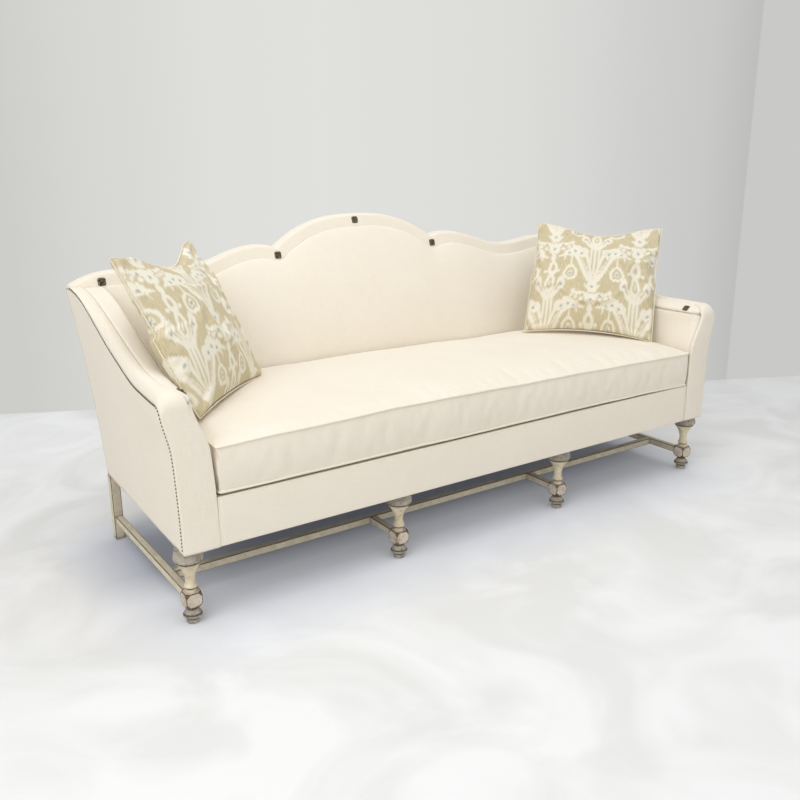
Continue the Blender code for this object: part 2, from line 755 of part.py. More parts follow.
def add_arm(side, word):
    """One arm: post and top rail inside, outer panel, continuous front and top strip, band and pad."""
    path = arm_path()
    along = np.gradient(path, axis=0)
    along /= np.linalg.norm(along, axis=1)[:, None]
    inward = np.stack([along[:, 1], -along[:, 0]], axis=1)
    under = path + arm_strip_thickness * inward
    rings = []
    for outer, inner in zip(path, under):
        y_outer = min(outer[0], back_plane_y(outer[1]) - seat_gap)
        y_inner = min(inner[0], back_plane_y(inner[1]) - seat_gap)
        z_inner = max(inner[1], leg_height)
        edge = strip_inner_edge(*outer)
        spread = arm_width - cover_thickness - edge
        places = [edge + spread * share(k, arm_strip_steps) for k in range(arm_strip_steps + 1)] + [arm_width]
        rings.append([cover_point(side, across, y_outer, outer[1]) for across in places]
                     + [cover_point(side, across, y_inner, z_inner) for across in reversed(places)])
    loft(f"arm_strip_{word}", rings, cover_fabric)

    post_outer = half_length - arm_post_inset
    post_front = arm_core_y + arm_post_inset / 2
    rail_start = arm_core_y + 2 * arm_post_inset
    post_top = arm_under(rail_start) - arm_rail_drop - arm_rail_height - seat_gap
    x = sorted((side * (post_outer - arm_post_width), side * post_outer))
    box(f"arm_post_{word}", (x[0], post_front, rail_bottom), (x[1], post_front + arm_post_depth, post_top),
        frame_wood)

    rings = []
    steps = 16
    rail_end = back_plane_y(crest_rail_bottom) - shell_gap
    for i in range(steps + 1):
        y = rail_start + (rail_end - rail_start) * share(i, steps)
        top = arm_under(y) - arm_rail_drop
        near = arm_pad_thickness + arm_rail_inset
        far = near + arm_rail_width
        rings.append([side_point(side, near, y, top), side_point(side, far, y, top),
                      side_point(side, far, y, top - arm_rail_height),
                      side_point(side, near, y, top - arm_rail_height)])
    loft(f"arm_rail_{word}", rings, frame_wood)

    rings = []
    levels = arm_front_steps
    corner_top = crest_corner_height - band_fold - shell_gap
    for place in arm_places():
        top, depth = arm_section(place, rear_plane_y, arm_under, 2 * shell_gap, corner_top)
        heights = [leg_height + (top - leg_height) * share(k, levels) for k in range(levels + 1)]
        outer = [cover_point(side, arm_width, depth(z), z) for z in heights]
        inner = [cover_point(side, arm_width - cover_thickness, depth(z), z) for z in heights]
        rings.append(outer + inner[::-1])
    side_ends = ladder(range(levels + 1), range(2 * levels + 1, levels, -1))
    loft(f"outside_arm_{word}", rings, cover_fabric, ends=side_ends)

    def pad_end(z):
        return back_plane_y(z) - shell_gap

    rings = []
    bend_y = front_face_y + arm_bend_radius
    top_path = path[arm_front_steps:]
    edges = [strip_inner_edge(*point) for point in top_path]
    for place in [place for place in arm_places() if place > arm_core_y + arm_band_setback]:
        top, depth = arm_section(place, pad_end, arm_over, arm_band_recess, crest_corner_height)
        low, _ = arm_section(place, pad_end, arm_under, arm_band_recess, crest_corner_height)
        reach = min(depth(low), depth(top))
        reach -= max(bend_y - reach, 0.0) * arm_strip_thickness / (arm_bend_radius - arm_strip_thickness)
        spread = float(np.interp(reach, top_path[:, 0], edges)) - 2 * shell_gap - arm_band_recess
        places = [arm_band_recess + spread * share(k, arm_band_steps) for k in range(arm_band_steps + 1)]
        rings.append([cover_point(side, across, depth(top), top) for across in places]
                     + [cover_point(side, across, depth(low), low) for across in reversed(places)])
    loft(f"arm_band_{word}", rings, cover_fabric)

    rings = []
    levels, outer_levels = arm_pad_levels
    bottom = deck_top + seat_gap
    length = back_plane_y(crest_corner_height) - arm_core_y
    for place in arm_places():
        top, depth = arm_section(place, pad_end, arm_under, arm_band_recess + shell_gap, crest_corner_height)
        along = max(math.sin(math.pi * min((place - arm_core_y) / length / arm_pad_swell_share, 1.0)), 0.0)
        inner = []
        for k in range(levels + 1):
            z = bottom + (top - bottom) * share(k, levels)
            swell = max(math.sin(math.pi * share(k, levels)), 0.0) ** 0.7 * along ** 0.5
            inner.append(cover_point(side, -arm_pad_crown * swell, depth(z), z))
        heights = [bottom + (top - bottom) * share(k, outer_levels) for k in range(outer_levels + 1)]
        rings.append(inner + [cover_point(side, arm_pad_thickness, depth(z), z) for z in reversed(heights)])
    count = levels + outer_levels + 2
    side_ends = ladder(range(levels + 1), range(count - 1, levels, -1))
    loft(f"inside_arm_pad_{word}", rings, cover_fabric, ends=side_ends)


def add_seat():
    """Sinuous springs from the front rail to the back rail, the deck over them and the front cover."""
    start = front_face_y + arm_strip_thickness + seat_gap + spring_front_inset
    end = rear_plane_y(rail_top) - cover_thickness - spring_rear_inset
    waves = max(1, round((end - start) / spring_wave))
    count = waves * spring_points_per_wave
    for number in range(spring_count):
        middle = spring_pitch * (number - (spring_count - 1) / 2)
        curve = bpy.data.curves.new(f"sinuous_spring_{number + 1}", "CURVE")
        curve.dimensions = "3D"
        curve.bevel_depth = spring_wire_radius
        curve.bevel_resolution = 0
        curve.use_fill_caps = True
        spline = curve.splines.new("POLY")
        spline.points.add(count)
        for i, point in enumerate(spline.points):
            t = share(i, count)
            swing = math.sin(math.tau * waves * t)
            flat = math.copysign(abs(swing) ** 0.6, swing)
            point.co = (middle + spring_half_width * flat, start + (end - start) * t,
                        spring_bed + spring_arch * math.sin(math.pi * t), 1)
        curve.materials.append(spring_steel)
        spring = bpy.data.objects.new(curve.name, curve)
        sofa.objects.link(spring)
    deck_half = arm_inner_x + arm_pad_thickness - 12 * seat_gap
    deck_rear = rear_plane_y(deck_bottom) - cover_thickness - upright_depth - 2 * seat_gap
    box("seat_deck", (-deck_half, arm_core_y, deck_bottom), (deck_half, deck_rear, deck_top), deck_fabric)
    side = arm_inner_x - seat_gap
    box("front_border", (-side, front_face_y, leg_height), (side, arm_core_y - seat_gap, deck_top),
        cover_fabric, arm_strip_thickness / 3)


def cushion_ring(inset, lift, arched):
    """One level of the cushion: a rectangle with round corners, its sides drawn in between them."""
    front = front_face_y - cushion_front_proud
    back = front_leg_y + cushion_back_setback
    half_x = cushion_half_length - inset
    half_y = (back - front) / 2 - inset
    middle = (back + front) / 2
    radius = max(cushion_corner_radius - inset, cushion_corner_radius / 4)
    points = []
    corners = ((1, -1, -90), (1, 1, 0), (-1, 1, 90), (-1, -1, 180))
    counts = (6, 16, 6, 16)
    arcs = []
    for sx, sy, first in corners:
        centre = (sx * (half_x - radius), sy * (half_y - radius))
        arcs.append([(centre[0] + radius * math.cos(math.radians(first + 30 * j)),
                      centre[1] + radius * math.sin(math.radians(first + 30 * j))) for j in range(4)])
    for i in range(4):
        start, end = arcs[i][-1], arcs[(i + 1) % 4][0]
        points += arcs[i]
        points += [(start[0] + (end[0] - start[0]) * share(j, counts[i]),
                    start[1] + (end[1] - start[1]) * share(j, counts[i])) for j in range(1, counts[i])]
    ring = []
    for x, y in points:
        along_x, along_y = x / half_x, y / half_y
        near_end = max(0.0, (abs(along_x) - cushion_pull_run_share) / (1 - cushion_pull_run_share))
        pull = cushion_pull_in * (1 - along_y ** 2) * near_end
        z = lift + (cushion_welt_arch * (1 - along_x ** 2) if arched else 0.0)
        narrow = 1 - taper(middle + y) / arm_inner_x
        ring.append(((x - math.copysign(pull, x)) * narrow, middle + y, z))
    return ring


def add_cushion():
    """Bench cushion: flat base, welt, border, welt, and a crown that rises from all four sides."""
    base = deck_top + seat_gap
    welt = cushion_welt_radius
    low_welt = base + 3 * welt
    top = cushion_welt_height
    bulge = welt - cushion_border_bulge
    levels = [(cushion_base_tuck, base, False), (cushion_base_roll, base, False), (welt, base + welt, False),
              (welt, low_welt - welt, False), (0.0, low_welt, False), (welt, low_welt + welt, False),
              (bulge, (low_welt + top) / 2, False), (welt, top - welt, True), (0.0, top, True),
              (welt + cushion_seam_step, top + welt, True)]
    rings = [cushion_ring(*level) for level in levels]
    for inset_share in crown_inset_shares:
        half_depth = (cushion_back_setback + front_overhang) / 2
        rise = cushion_crown * (1 - (1 - inset_share) ** 2.4)
        rings.append(cushion_ring(inset_share * half_depth, top + welt + rise, True))
    loft("seat_cushion", rings, cover_fabric, math.radians(60))


def add_pillow(name, middle, clearance, rise, turn, lean, roll):
    """A square pillow with pointed corners and knife edges, standing on its lower edge and leaning back."""
    mesh = bpy.data.meshes.new(name)
    n = pillow_cells
    front, back, points, faces = {}, {}, [], []
    for i in range(n + 1):
        for j in range(n + 1):
            u, v = 2 * share(i, n) - 1, 2 * share(j, n) - 1
            x = pillow_width / 2 * u * (1 - pillow_side_pull_share * (1 - v * v))
            end_pull = pillow_top_pull_share if v > 0 else pillow_bottom_pull_share
            y = pillow_height / 2 * (1 + v * (1 - end_pull * (1 - u * u)))
            body = ((1 - u ** 2) * (1 - v ** 2)) ** 0.5
            half = (pillow_edge_thickness + (pillow_thickness - pillow_edge_thickness) * body) / 2
            front[i, j] = len(points)
            points.append((x, -half, y))
            back[i, j] = len(points)
            points.append((x, half, y))
    for i in range(n):
        for j in range(n):
            cell = ((i, j), (i + 1, j), (i + 1, j + 1), (i, j + 1))
            faces.append(tuple(front[c] for c in cell))
            faces.append(tuple(back[c] for c in reversed(cell)))
    for k in range(n):
        for a, b in (((k, 0), (k + 1, 0)), ((n, k), (n, k + 1)), ((k + 1, n), (k, n)), ((0, k + 1), (0, k))):
            faces.append((front[a], back[a], back[b], front[b]))
    mesh.from_pydata(points, [], faces)
    pillow = finish_object(name, mesh, pillow_fabric, math.radians(60))
    pillow.location = (middle, front_leg_y + back_plane_setback - clearance, cushion_welt_height + rise)
    pillow.rotation_mode = "YXZ"
    pillow.rotation_euler = (-lean, roll, turn)


def add_rosette(name, place, normal):
    """A square-lobed nail head that rises in steps to a point, facing along the normal."""
    rings = []
    for radius_share, height_share in rosette_step_shares:
        ring = []
        for i in range(rosette_segments):
            angle = math.tau * share(i, rosette_segments)
            lobe = 1 - rosette_lobe_share * math.cos(4 * angle)
            ring.append((rosette_radius * radius_share * lobe * math.cos(angle),
                         rosette_radius * radius_share * lobe * math.sin(angle),
                         rosette_height * height_share))
        rings.append(ring)
    rosette = loft(name, rings, aged_bronze)
    rosette.rotation_euler = Vector(normal).to_track_quat("Z", "Y").to_euler()
    rosette.location = Vector(place) + Vector(normal).normalized() * seat_gap


def add_rosettes():
    """Rosettes at the crest's middle, notches and corners, and at the front of each arm's band."""
    lean = (0, -1, back_plane_lean_share)
    spots = [("rosette_centre", 0.0, centre_rosette_drop)]
    for side, word in ((-1, "left"), (1, "right")):
        spots.append((f"rosette_notch_{word}", side * crest_notch_x, notch_rosette_drop))
        spots.append((f"rosette_corner_{word}", side * corner_rosette_x, corner_rosette_drop))
        y = front_leg_y + arm_rosette_setback
        spot, aside, behind = [Vector(cover_point(side, across, depth, arm_over(depth) - arm_band_recess))
                               for across, depth in ((arm_rosette_across, y),
                                                     (arm_rosette_across + shell_gap, y),
                                                     (arm_rosette_across, y + shell_gap))]
        normal = (aside - spot).normalized().cross((behind - spot).normalized())
        add_rosette(f"rosette_arm_{word}", spot, normal * side)
    for name, x, drop in spots:
        z = crest(x) - drop
        add_rosette(name, (x, back_plane_y(z), z), lean)


add_legs()
add_stretchers()
add_seat_frame()
add_back_frame()
add_back_covers()
for arm_side, arm_word in ((-1, "left"), (1, "right")):
    add_arm(arm_side, arm_word)
add_seat()
add_cushion()
add_pillow("pillow_left", left_pillow_inset - arm_inner_x, left_pillow_clearance, left_pillow_rise,
           left_pillow_turn, left_pillow_lean, left_pillow_roll)
add_pillow("pillow_right", arm_inner_x - right_pillow_inset, right_pillow_clearance, right_pillow_rise,
           right_pillow_turn, right_pillow_lean, right_pillow_roll)
add_rosettes()
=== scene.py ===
"""Looks of a camelback sofa: cream linen over a scalloped back and swept arms, turned and painted legs.

Metres, +Z up. X runs along the sofa and the front faces -Y. "Across" an arm is measured from its inner
face outwards. Every piece keeps its object at the origin, with its place in its mesh.
"""
import json
import math

import bmesh
import bpy
import numpy as np
from mathutils import Euler, Matrix, Vector


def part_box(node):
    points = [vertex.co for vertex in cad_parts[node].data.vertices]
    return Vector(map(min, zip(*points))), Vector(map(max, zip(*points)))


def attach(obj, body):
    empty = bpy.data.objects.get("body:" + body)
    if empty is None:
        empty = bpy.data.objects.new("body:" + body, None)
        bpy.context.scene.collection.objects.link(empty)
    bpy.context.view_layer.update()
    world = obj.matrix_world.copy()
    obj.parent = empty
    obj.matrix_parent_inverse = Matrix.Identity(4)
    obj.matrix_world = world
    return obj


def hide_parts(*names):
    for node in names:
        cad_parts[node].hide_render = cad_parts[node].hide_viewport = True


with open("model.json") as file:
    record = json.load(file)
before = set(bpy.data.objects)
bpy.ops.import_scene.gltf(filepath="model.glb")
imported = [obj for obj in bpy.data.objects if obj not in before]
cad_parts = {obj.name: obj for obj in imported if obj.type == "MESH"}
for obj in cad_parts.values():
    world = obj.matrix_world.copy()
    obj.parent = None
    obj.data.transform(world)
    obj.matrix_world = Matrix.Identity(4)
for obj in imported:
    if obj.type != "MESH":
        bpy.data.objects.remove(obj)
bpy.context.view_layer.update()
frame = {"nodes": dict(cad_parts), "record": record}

# Sizes of the upholstered frame, as the solids have them
SEAT_GAP = 0.0003
SHELL_GAP = 0.0008
LEG_HEIGHT = 0.229
LEG_Y = -0.398435
HALF_LENGTH = 1.080
FACE_Y = LEG_Y - 0.055
CORNER_SWEEP = 0.0386
SIDE_TAPER = 0.018
TAPER_RUN = 0.750
CORNER_Z = 0.850
PEAK_Z = CORNER_Z + 0.176
NOTCH_X = 0.350
NOTCH_Z = CORNER_Z + 0.073
SIDE_PEAK_X = NOTCH_X + 0.075
SIDE_PEAK_Z = CORNER_Z + 0.086
DIP_X = HALF_LENGTH - 0.340
DIP_Z = CORNER_Z + 0.020
OUTER_PEAK_X = HALF_LENGTH - 0.130
OUTER_PEAK_Z = CORNER_Z + 0.039
CREST_POWER = 2.5
BACK_DEPTH = 0.589
BACK_RAKE = 0.28
REAR_DEPTH = 0.690
REAR_RAKE = 0.21
BAND_WIDTH = 0.045
BAND_TUCK = 0.016
BAND_FOLD = 0.012
BAND_THICKNESS = 0.008
COVER_THICKNESS = 0.008
PAD_EDGE = 0.006
PAD_CROWN = 0.036
ARM_WIDTH = 0.105
ARM_INNER_X = HALF_LENGTH - ARM_WIDTH
ARM_PAD_THICKNESS = 0.030
ARM_PAD_CROWN = 0.005
ARM_BAND_RECESS = 0.003
STRIP_THICKNESS = 0.0105
BEND_RADIUS = 0.040
ARM_FRONT_Z = 0.680
ARM_RISE = CORNER_Z - ARM_FRONT_Z + 0.001
ARM_GENTLE = 0.05
ARM_CURVE = (0.15, 0.80)
SEAM_ACROSS = 0.062
ROLL_BASE = ARM_FRONT_Z - 0.180
ROLL_RUN = 0.160
ROLL_FADE = (0.40, 0.65)
ROLL_POWER = 4
OUTER_DROP = 0.022
INNER_DROP = 0.024
FRONT_LEAN = 0.024
FLARE = 0.015
LEAN_RUN = 0.450
EDGE_DRAW = 0.85 * ARM_PAD_THICKNESS
EDGE_START = 0.010
EDGE_RUN = 0.160
PAD_ROUND = 0.006
PAD_LIP = 0.0015
CORE_Y = FACE_Y + STRIP_THICKNESS + 2 * SHELL_GAP
PANEL_SWELL = 0.0012
BORDER_SETBACK = 0.0018
DECK_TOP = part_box("seat_deck")[1].z
BACK_HALF = HALF_LENGTH - SIDE_TAPER
CORNER_X = BACK_HALF + CORNER_SWEEP


CAMERA_SPOT = (-1.7964, -2.1372 + LEG_Y, 1.2847)
CAMERA_TURN = (34.255, 16.333, 0.403)
CAMERA_LENS = 39.328
CAMERA_SHIFT = (-0.0003, -0.0001)


def place_camera():
    """The camera: a pinhole turned about Z by its yaw, tilted down by its pitch and rolled."""
    yaw, pitch, roll = (math.radians(angle) for angle in CAMERA_TURN)
    flat = np.array([math.sin(yaw), math.cos(yaw), 0.0])
    right = np.array([math.cos(yaw), -math.sin(yaw), 0.0])
    ahead = flat * math.cos(pitch) - np.array([0, 0, math.sin(pitch)])
    down = np.cross(ahead, right)
    across = right * math.cos(roll) + down * math.sin(roll)
    below = down * math.cos(roll) - right * math.sin(roll)
    camera = bpy.data.objects.new("camera", bpy.data.cameras.new("camera"))
    axes = np.stack([across, -below, -ahead], 1)
    camera.matrix_world = Matrix([(*row, spot) for row, spot in zip(axes, CAMERA_SPOT)] + [(0, 0, 0, 1)])
    camera.data.sensor_width, camera.data.lens = 36, CAMERA_LENS
    camera.data.shift_x, camera.data.shift_y = CAMERA_SHIFT
    bpy.context.scene.collection.objects.link(camera)
    bpy.context.scene.camera = camera


# Surfaces of the frame

def sweep(z):
    """How far a side has moved outwards: by the square of the height above the legs."""
    return CORNER_SWEEP * (np.clip(z - LEG_HEIGHT, 0, None) / (CORNER_Z - LEG_HEIGHT)) ** 2


def taper(y):
    """How far a side has closed in at depth y: straight, from the front face backwards."""
    return SIDE_TAPER * np.clip((y - FACE_Y) / TAPER_RUN, 0, 1)


def back_face(z):
    """Depth of the border band's front plane at height z."""
    return LEG_Y + BACK_DEPTH + BACK_RAKE * (z - LEG_HEIGHT)


def rear_face(z):
    """Depth of the sofa's rear plane at height z."""
    return LEG_Y + REAR_DEPTH + REAR_RAKE * (z - LEG_HEIGHT)


def ease(t):
    """Cosine ramp from 0 to 1."""
    return 0.5 - 0.5 * np.cos(np.pi * np.clip(t, 0, 1))


def smooth_step(t):
    """Cubic ramp from 0 to 1."""
    t = np.clip(t, 0, 1)
    return t * t * (3 - 2 * t)


def crest(x):
    """Scalloped top line: an arch of power 2.5, a short parabola, two cosine ramps and a parabola."""
    x = np.abs(x)
    arch = NOTCH_Z + (PEAK_Z - NOTCH_Z) * (1 - np.clip(x / NOTCH_X, 0, 1) ** CREST_POWER)
    shoulder = SIDE_PEAK_Z - (SIDE_PEAK_Z - NOTCH_Z) * ((SIDE_PEAK_X - x) / (SIDE_PEAK_X - NOTCH_X)) ** 2
    fall = SIDE_PEAK_Z + (DIP_Z - SIDE_PEAK_Z) * ease((x - SIDE_PEAK_X) / (DIP_X - SIDE_PEAK_X))
    swell = DIP_Z + (OUTER_PEAK_Z - DIP_Z) * ease((x - DIP_X) / (OUTER_PEAK_X - DIP_X))
    corner = OUTER_PEAK_Z + (CORNER_Z - OUTER_PEAK_Z) * ((x - OUTER_PEAK_X) / (CORNER_X - OUTER_PEAK_X)) ** 2
    return np.select([x <= NOTCH_X, x <= SIDE_PEAK_X, x <= DIP_X, x <= OUTER_PEAK_X],
                     [arch, shoulder, fall, swell], corner)


def crest_places():
    """X places from corner to corner, with one at each notch and closest together beside it."""
    marks = (0, NOTCH_X, SIDE_PEAK_X, DIP_X, OUTER_PEAK_X, CORNER_X)
    counts = (46, 14, 34, 24, 26)
    half = np.concatenate([np.linspace(a, b, n, endpoint=False)
                           for a, b, n in zip(marks, marks[1:], counts)] + [[CORNER_X]])
    return np.concatenate([-half[:0:-1], half])


def pad_line(x):
    """The lowest circle of the band's width hung from the top line."""
    step = np.linspace(-1, 1, 81)[1:-1] * BAND_WIDTH
    near = crest(np.minimum(np.abs(np.asarray(x)[..., None] + step), CORNER_X))
    return (near - np.sqrt(BAND_WIDTH ** 2 - step ** 2)).min(-1)


def arm_top(y):
    """Top of an arm: a gentle slope plus a smooth cubic step up to the back corner."""
    depth = y - LEG_Y
    reach = BACK_DEPTH + BACK_RAKE * (CORNER_Z - LEG_HEIGHT)
    steep = smooth_step((depth - ARM_CURVE[0]) / (ARM_CURVE[1] - ARM_CURVE[0]))
    gentle = np.clip(depth, 0, None) / reach
    return ARM_FRONT_Z + ARM_RISE * (ARM_GENTLE * gentle + (1 - ARM_GENTLE) * steep)


def arm_straight_under(y):
    """Just under an arm's top strip, as if the strip had no front bend."""
    slope = (arm_top(y + SEAT_GAP) - arm_top(y)) / SEAT_GAP
    return arm_top(y) - STRIP_THICKNESS * np.hypot(1, slope) - SHELL_GAP


def arm_under(y):
    """Just under an arm's top strip, falling away round the front bend on a circle."""
    inner = BEND_RADIUS - STRIP_THICKNESS
    run = np.clip(FACE_Y + BEND_RADIUS - y + SHELL_GAP, 0, inner)
    bend = arm_top(y) - BEND_RADIUS + np.sqrt(inner ** 2 - run ** 2) - SHELL_GAP
    return np.where(y >= FACE_Y + BEND_RADIUS, arm_straight_under(y), bend)


def arm_over(y):
    """Top of an arm, falling away round the front bend on a circle."""
    run = np.clip(FACE_Y + BEND_RADIUS - y, 0, BEND_RADIUS)
    return arm_top(y) - BEND_RADIUS + np.sqrt(BEND_RADIUS ** 2 - run ** 2)


def cover_point(side, across, y, z):
    """A point of an arm's covers, at a distance across it, swept outwards with height.

    High up it is rolled down by a power of its distance from the seam on top, and flared at the front.
    """
    across, y, z = np.broadcast_arrays(across, y, z)
    level = smooth_step((z - ROLL_BASE) / ROLL_RUN)
    outer = np.clip((across - SEAM_ACROSS) / (ARM_WIDTH - SEAM_ACROSS), 0, None) ** ROLL_POWER
    inner = np.clip(1 - across / SEAM_ACROSS, 0, None)
    rear = 1 - smooth_step((y - LEG_Y - ROLL_FADE[0]) / (ROLL_FADE[1] - ROLL_FADE[0]))
    lean = 1 - smooth_step((y - FACE_Y) / LEAN_RUN)
    drop = level * rear * (OUTER_DROP * outer + INNER_DROP * inner ** 2)
    aside = level * lean * (FRONT_LEAN * inner + FLARE * across / ARM_WIDTH)
    return np.stack([side * (ARM_INNER_X + across + aside + sweep(z - drop) - taper(y)), y, z - drop], -1)


def strip_inner_edge(y, z):
    """Inner edge of an arm's strip: square above the seat, bowed out by a square, then a cube to the seam."""
    low = np.clip((z - ROLL_BASE) / (ARM_FRONT_Z - BEND_RADIUS - ROLL_BASE), 0, 1)
    far = np.clip((y - FACE_Y - EDGE_START) / EDGE_RUN, 0, 1)
    return EDGE_DRAW * low ** 2 + (SEAM_ACROSS - EDGE_DRAW) * (1 - (1 - far) ** 3)


def arm_places(count):
    """Depths of an arm's sections: close together round the front bend, then even."""
    bend_y = FACE_Y + BEND_RADIUS
    angle = np.linspace(0, np.pi / 2, 14, endpoint=False)
    return np.concatenate([bend_y - (bend_y - CORE_Y) * np.cos(angle),
                           np.linspace(bend_y, back_face(CORNER_Z), count)])


def arm_section(place, end_plane, line, fall, ceiling):
    """Top of a piece that hangs under a line of the arm, settled by repeated substitution, and its depths."""
    end = back_face(CORNER_Z)
    share = (place - CORE_Y) / (end - CORE_Y)

    def depth(z):
        """Depth of each section at height z: it leans with the end plane by its share of the way there."""
        return place + share * (end_plane(z) - end)

    top = line(place) - fall
    for _ in range(6):
        top = np.minimum(line(depth(top)) - fall, ceiling)
    return top, depth


# Meshes

def place_piece(name, mesh, body, replaced=()):
    """Links a mesh as a piece that rides on a body of the frame."""
    piece = bpy.data.objects.new(name, mesh)
    bpy.context.scene.collection.objects.link(piece)
    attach(piece, body)
    if replaced:
        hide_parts(*replaced)
    return piece


def new_piece(name, points, faces, material, body, uv, replaced=()):
    """A piece from an array of points, a list of faces and its cloth's place at each point, in metres."""
    mesh = bpy.data.meshes.new(name)
    mesh.from_pydata(np.asarray(points, float).reshape(-1, 3), [], faces)
    mesh.shade_smooth()
    if uv is not None:
        corner = corner_points(mesh)
        layer = mesh.uv_layers.new(name="cloth")
        layer.data.foreach_set("uv", np.asarray(uv, np.float32).reshape(-1, 2)[corner].ravel())
    mesh.materials.append(material)
    return place_piece(name, mesh, body, replaced)


def corner_points(mesh):
    """The point that each face corner of a mesh stands on."""
    corner = np.zeros(len(mesh.loops), np.int32)
    mesh.loops.foreach_get("vertex_index", corner)
    return corner


def face_outwards(mesh):
    """Turns the faces of a closed shell outwards."""
    shell = bmesh.new()
    shell.from_mesh(mesh)
    bmesh.ops.recalc_face_normals(shell, faces=shell.faces)
    shell.to_mesh(mesh)
    shell.free()


def write_marks(mesh, **marks):
    """Values for each point of a mesh, from 0 to 1, as attributes that its material reads."""
    for key, value in marks.items():
        mesh.attributes.new(key, "FLOAT", "POINT").data.foreach_set("value", np.asarray(value, np.float32))


def unit(vectors):
    """The same directions with a length of 1."""
    return vectors / np.linalg.norm(vectors, axis=-1, keepdims=True)


def grid_faces(rows, columns, wrap=False):
    """Quads between the points of a grid stored row by row, closed round the columns if wrapped."""
    i = np.arange(rows - 1)[:, None] * columns
    j = np.arange(columns if wrap else columns - 1)[None]
    k = (j + 1) % columns
    return np.stack([i + j, i + k, i + columns + k, i + columns + j], -1).reshape(-1, 4)


def border_loop(rows, columns):
    """Indices round the border of a grid, once."""
    index = np.arange(rows * columns).reshape(rows, columns)
    return np.concatenate([index[0, :-1], index[:-1, -1], index[-1, :0:-1], index[:0:-1, 0]])


def cloth_uv(grid):
    """Metres of cloth along both ways of a grid: the length of its middle column and row."""
    rows, columns = grid.shape[:2]
    down = np.linalg.norm(np.diff(grid[:, columns // 2], axis=0), axis=1)
    along = np.linalg.norm(np.diff(grid[rows // 2], axis=0), axis=1)
    v, u = np.r_[0, np.cumsum(down)], np.r_[0, np.cumsum(along)]
    return np.stack(np.broadcast_arrays(u[None], v[:, None]), -1).astype(float)


def panel(name, face, back, material, body, replaced=()):
    """Two grids of the same size, a face and its back, closed round their borders into one shell."""
    rows, columns = face.shape[:2]
    count = rows * columns
    loop = border_loop(rows, columns)
    after = np.roll(loop, -1)
    quads = grid_faces(rows, columns)
    faces = np.concatenate([quads, quads[:, ::-1] + count,
                            np.stack([after, loop, loop + count, after + count], -1)])
    normal = np.cross(face[0, 1] - face[0, 0], face[1, 0] - face[0, 0])
    if np.dot(normal, face[0, 0] - back[0, 0]) < 0:
        faces = faces[:, ::-1]
    uv = np.concatenate([cloth_uv(face).reshape(-1, 2)] * 2)
    return new_piece(name, np.concatenate([face.reshape(-1, 3), back.reshape(-1, 3)]), faces.tolist(),
                     material, body, uv, replaced)


def loft(name, rings, material, body, replaced=()):
    """A closed profile carried along a path, one ring of points for each station, with capped ends."""
    rows, columns = rings.shape[:2]
    ends = [list(range(columns))[::-1], list(range((rows - 1) * columns, rows * columns))]
    faces = grid_faces(rows, columns, wrap=True).tolist() + ends
    piece = new_piece(name, rings, faces, material, body, cloth_uv(rings), replaced)
    face_outwards(piece.data)
    return piece


def closed_cord(name, path, radius, material, body):
    """A welt: a thin cord in its sleeve of cloth, a circle carried once round a closed path.

    The circle stands square to the path, on an axis as upright as it can be and one across it.
    """
    ahead = unit(np.roll(path, -1, 0) - np.roll(path, 1, 0))
    upright = unit(np.array([0, 0, 1.0]) - ahead * ahead[:, 2:])
    aside = np.cross(ahead, upright)
    angle = np.linspace(0, 2 * np.pi, 10, endpoint=False)[None, :, None]
    rings = path[:, None] + radius * (np.cos(angle) * aside[:, None] + np.sin(angle) * upright[:, None])
    rows, columns = rings.shape[:2]
    quads = grid_faces(rows + 1, columns, wrap=True) % (rows * columns)
    uv = cloth_uv(np.concatenate([rings, rings[:1]]))[:-1]
    piece = new_piece(name, rings, quads.tolist(), material, body, uv)
    face_outwards(piece.data)
    return piece


def stuff(piece, sewn, pressure, growth, cap, bending=0.6):
    """Blow a piece up with cloth simulation while its seams stay sewn, and cap how far a point moves."""
    mesh = piece.data
    rest = np.zeros(len(mesh.vertices) * 3, np.float32)
    mesh.vertices.foreach_get("co", rest)
    group = piece.vertex_groups.new(name="sewn")
    group.add([int(i) for i in sewn], 1.0, "REPLACE")
    cloth = piece.modifiers.new("stuffing", "CLOTH")
    settings = cloth.settings
    settings.quality = 6
    settings.mass = 0.3
    settings.tension_stiffness = 15
    settings.compression_stiffness = 15
    settings.shear_stiffness = 8
    settings.bending_stiffness = bending
    settings.use_pressure = True
    settings.uniform_pressure_force = pressure
    settings.shrink_min = -growth
    settings.vertex_group_mass = "sewn"
    settings.effector_weights.gravity = 0
    cloth.collision_settings.use_collision = False
    scene = bpy.context.scene
    for number in range(1, 21):
        scene.frame_set(number)
    evaluated = piece.evaluated_get(bpy.context.evaluated_depsgraph_get())
    moved = np.zeros_like(rest)
    evaluated.data.vertices.foreach_get("co", moved)
    piece.modifiers.remove(cloth)
    piece.vertex_groups.remove(group)
    scene.frame_set(1)
    move = (moved - rest).reshape(-1, 3)
    far = np.linalg.norm(move, axis=1)[:, None]
    move *= np.minimum(1, cap / np.maximum(far, 1e-9))
    mesh.vertices.foreach_set("co", (rest.reshape(-1, 3) + move).ravel())
    mesh.update()


def soften(piece, levels):
    """Adds a subdivision surface of equal levels in the view and in the render."""
    smooth = piece.modifiers.new("softening", "SUBSURF")
    smooth.levels = smooth.render_levels = levels
    return smooth


def soften_for_good(piece, levels):
    """Applies a subdivision surface, so that a print can be written on the fine mesh."""
    smooth = soften(piece, levels)
    evaluated = piece.evaluated_get(bpy.context.evaluated_depsgraph_get())
    fine = bpy.data.meshes.new_from_object(evaluated)
    piece.modifiers.remove(smooth)
    fine.name = piece.name
    piece.data = fine


def sharpen(mesh, degrees):
    """Marks the edges of a mesh that turn by more than an angle as sharp."""
    mesh.set_sharp_from_angle(angle=math.radians(degrees))


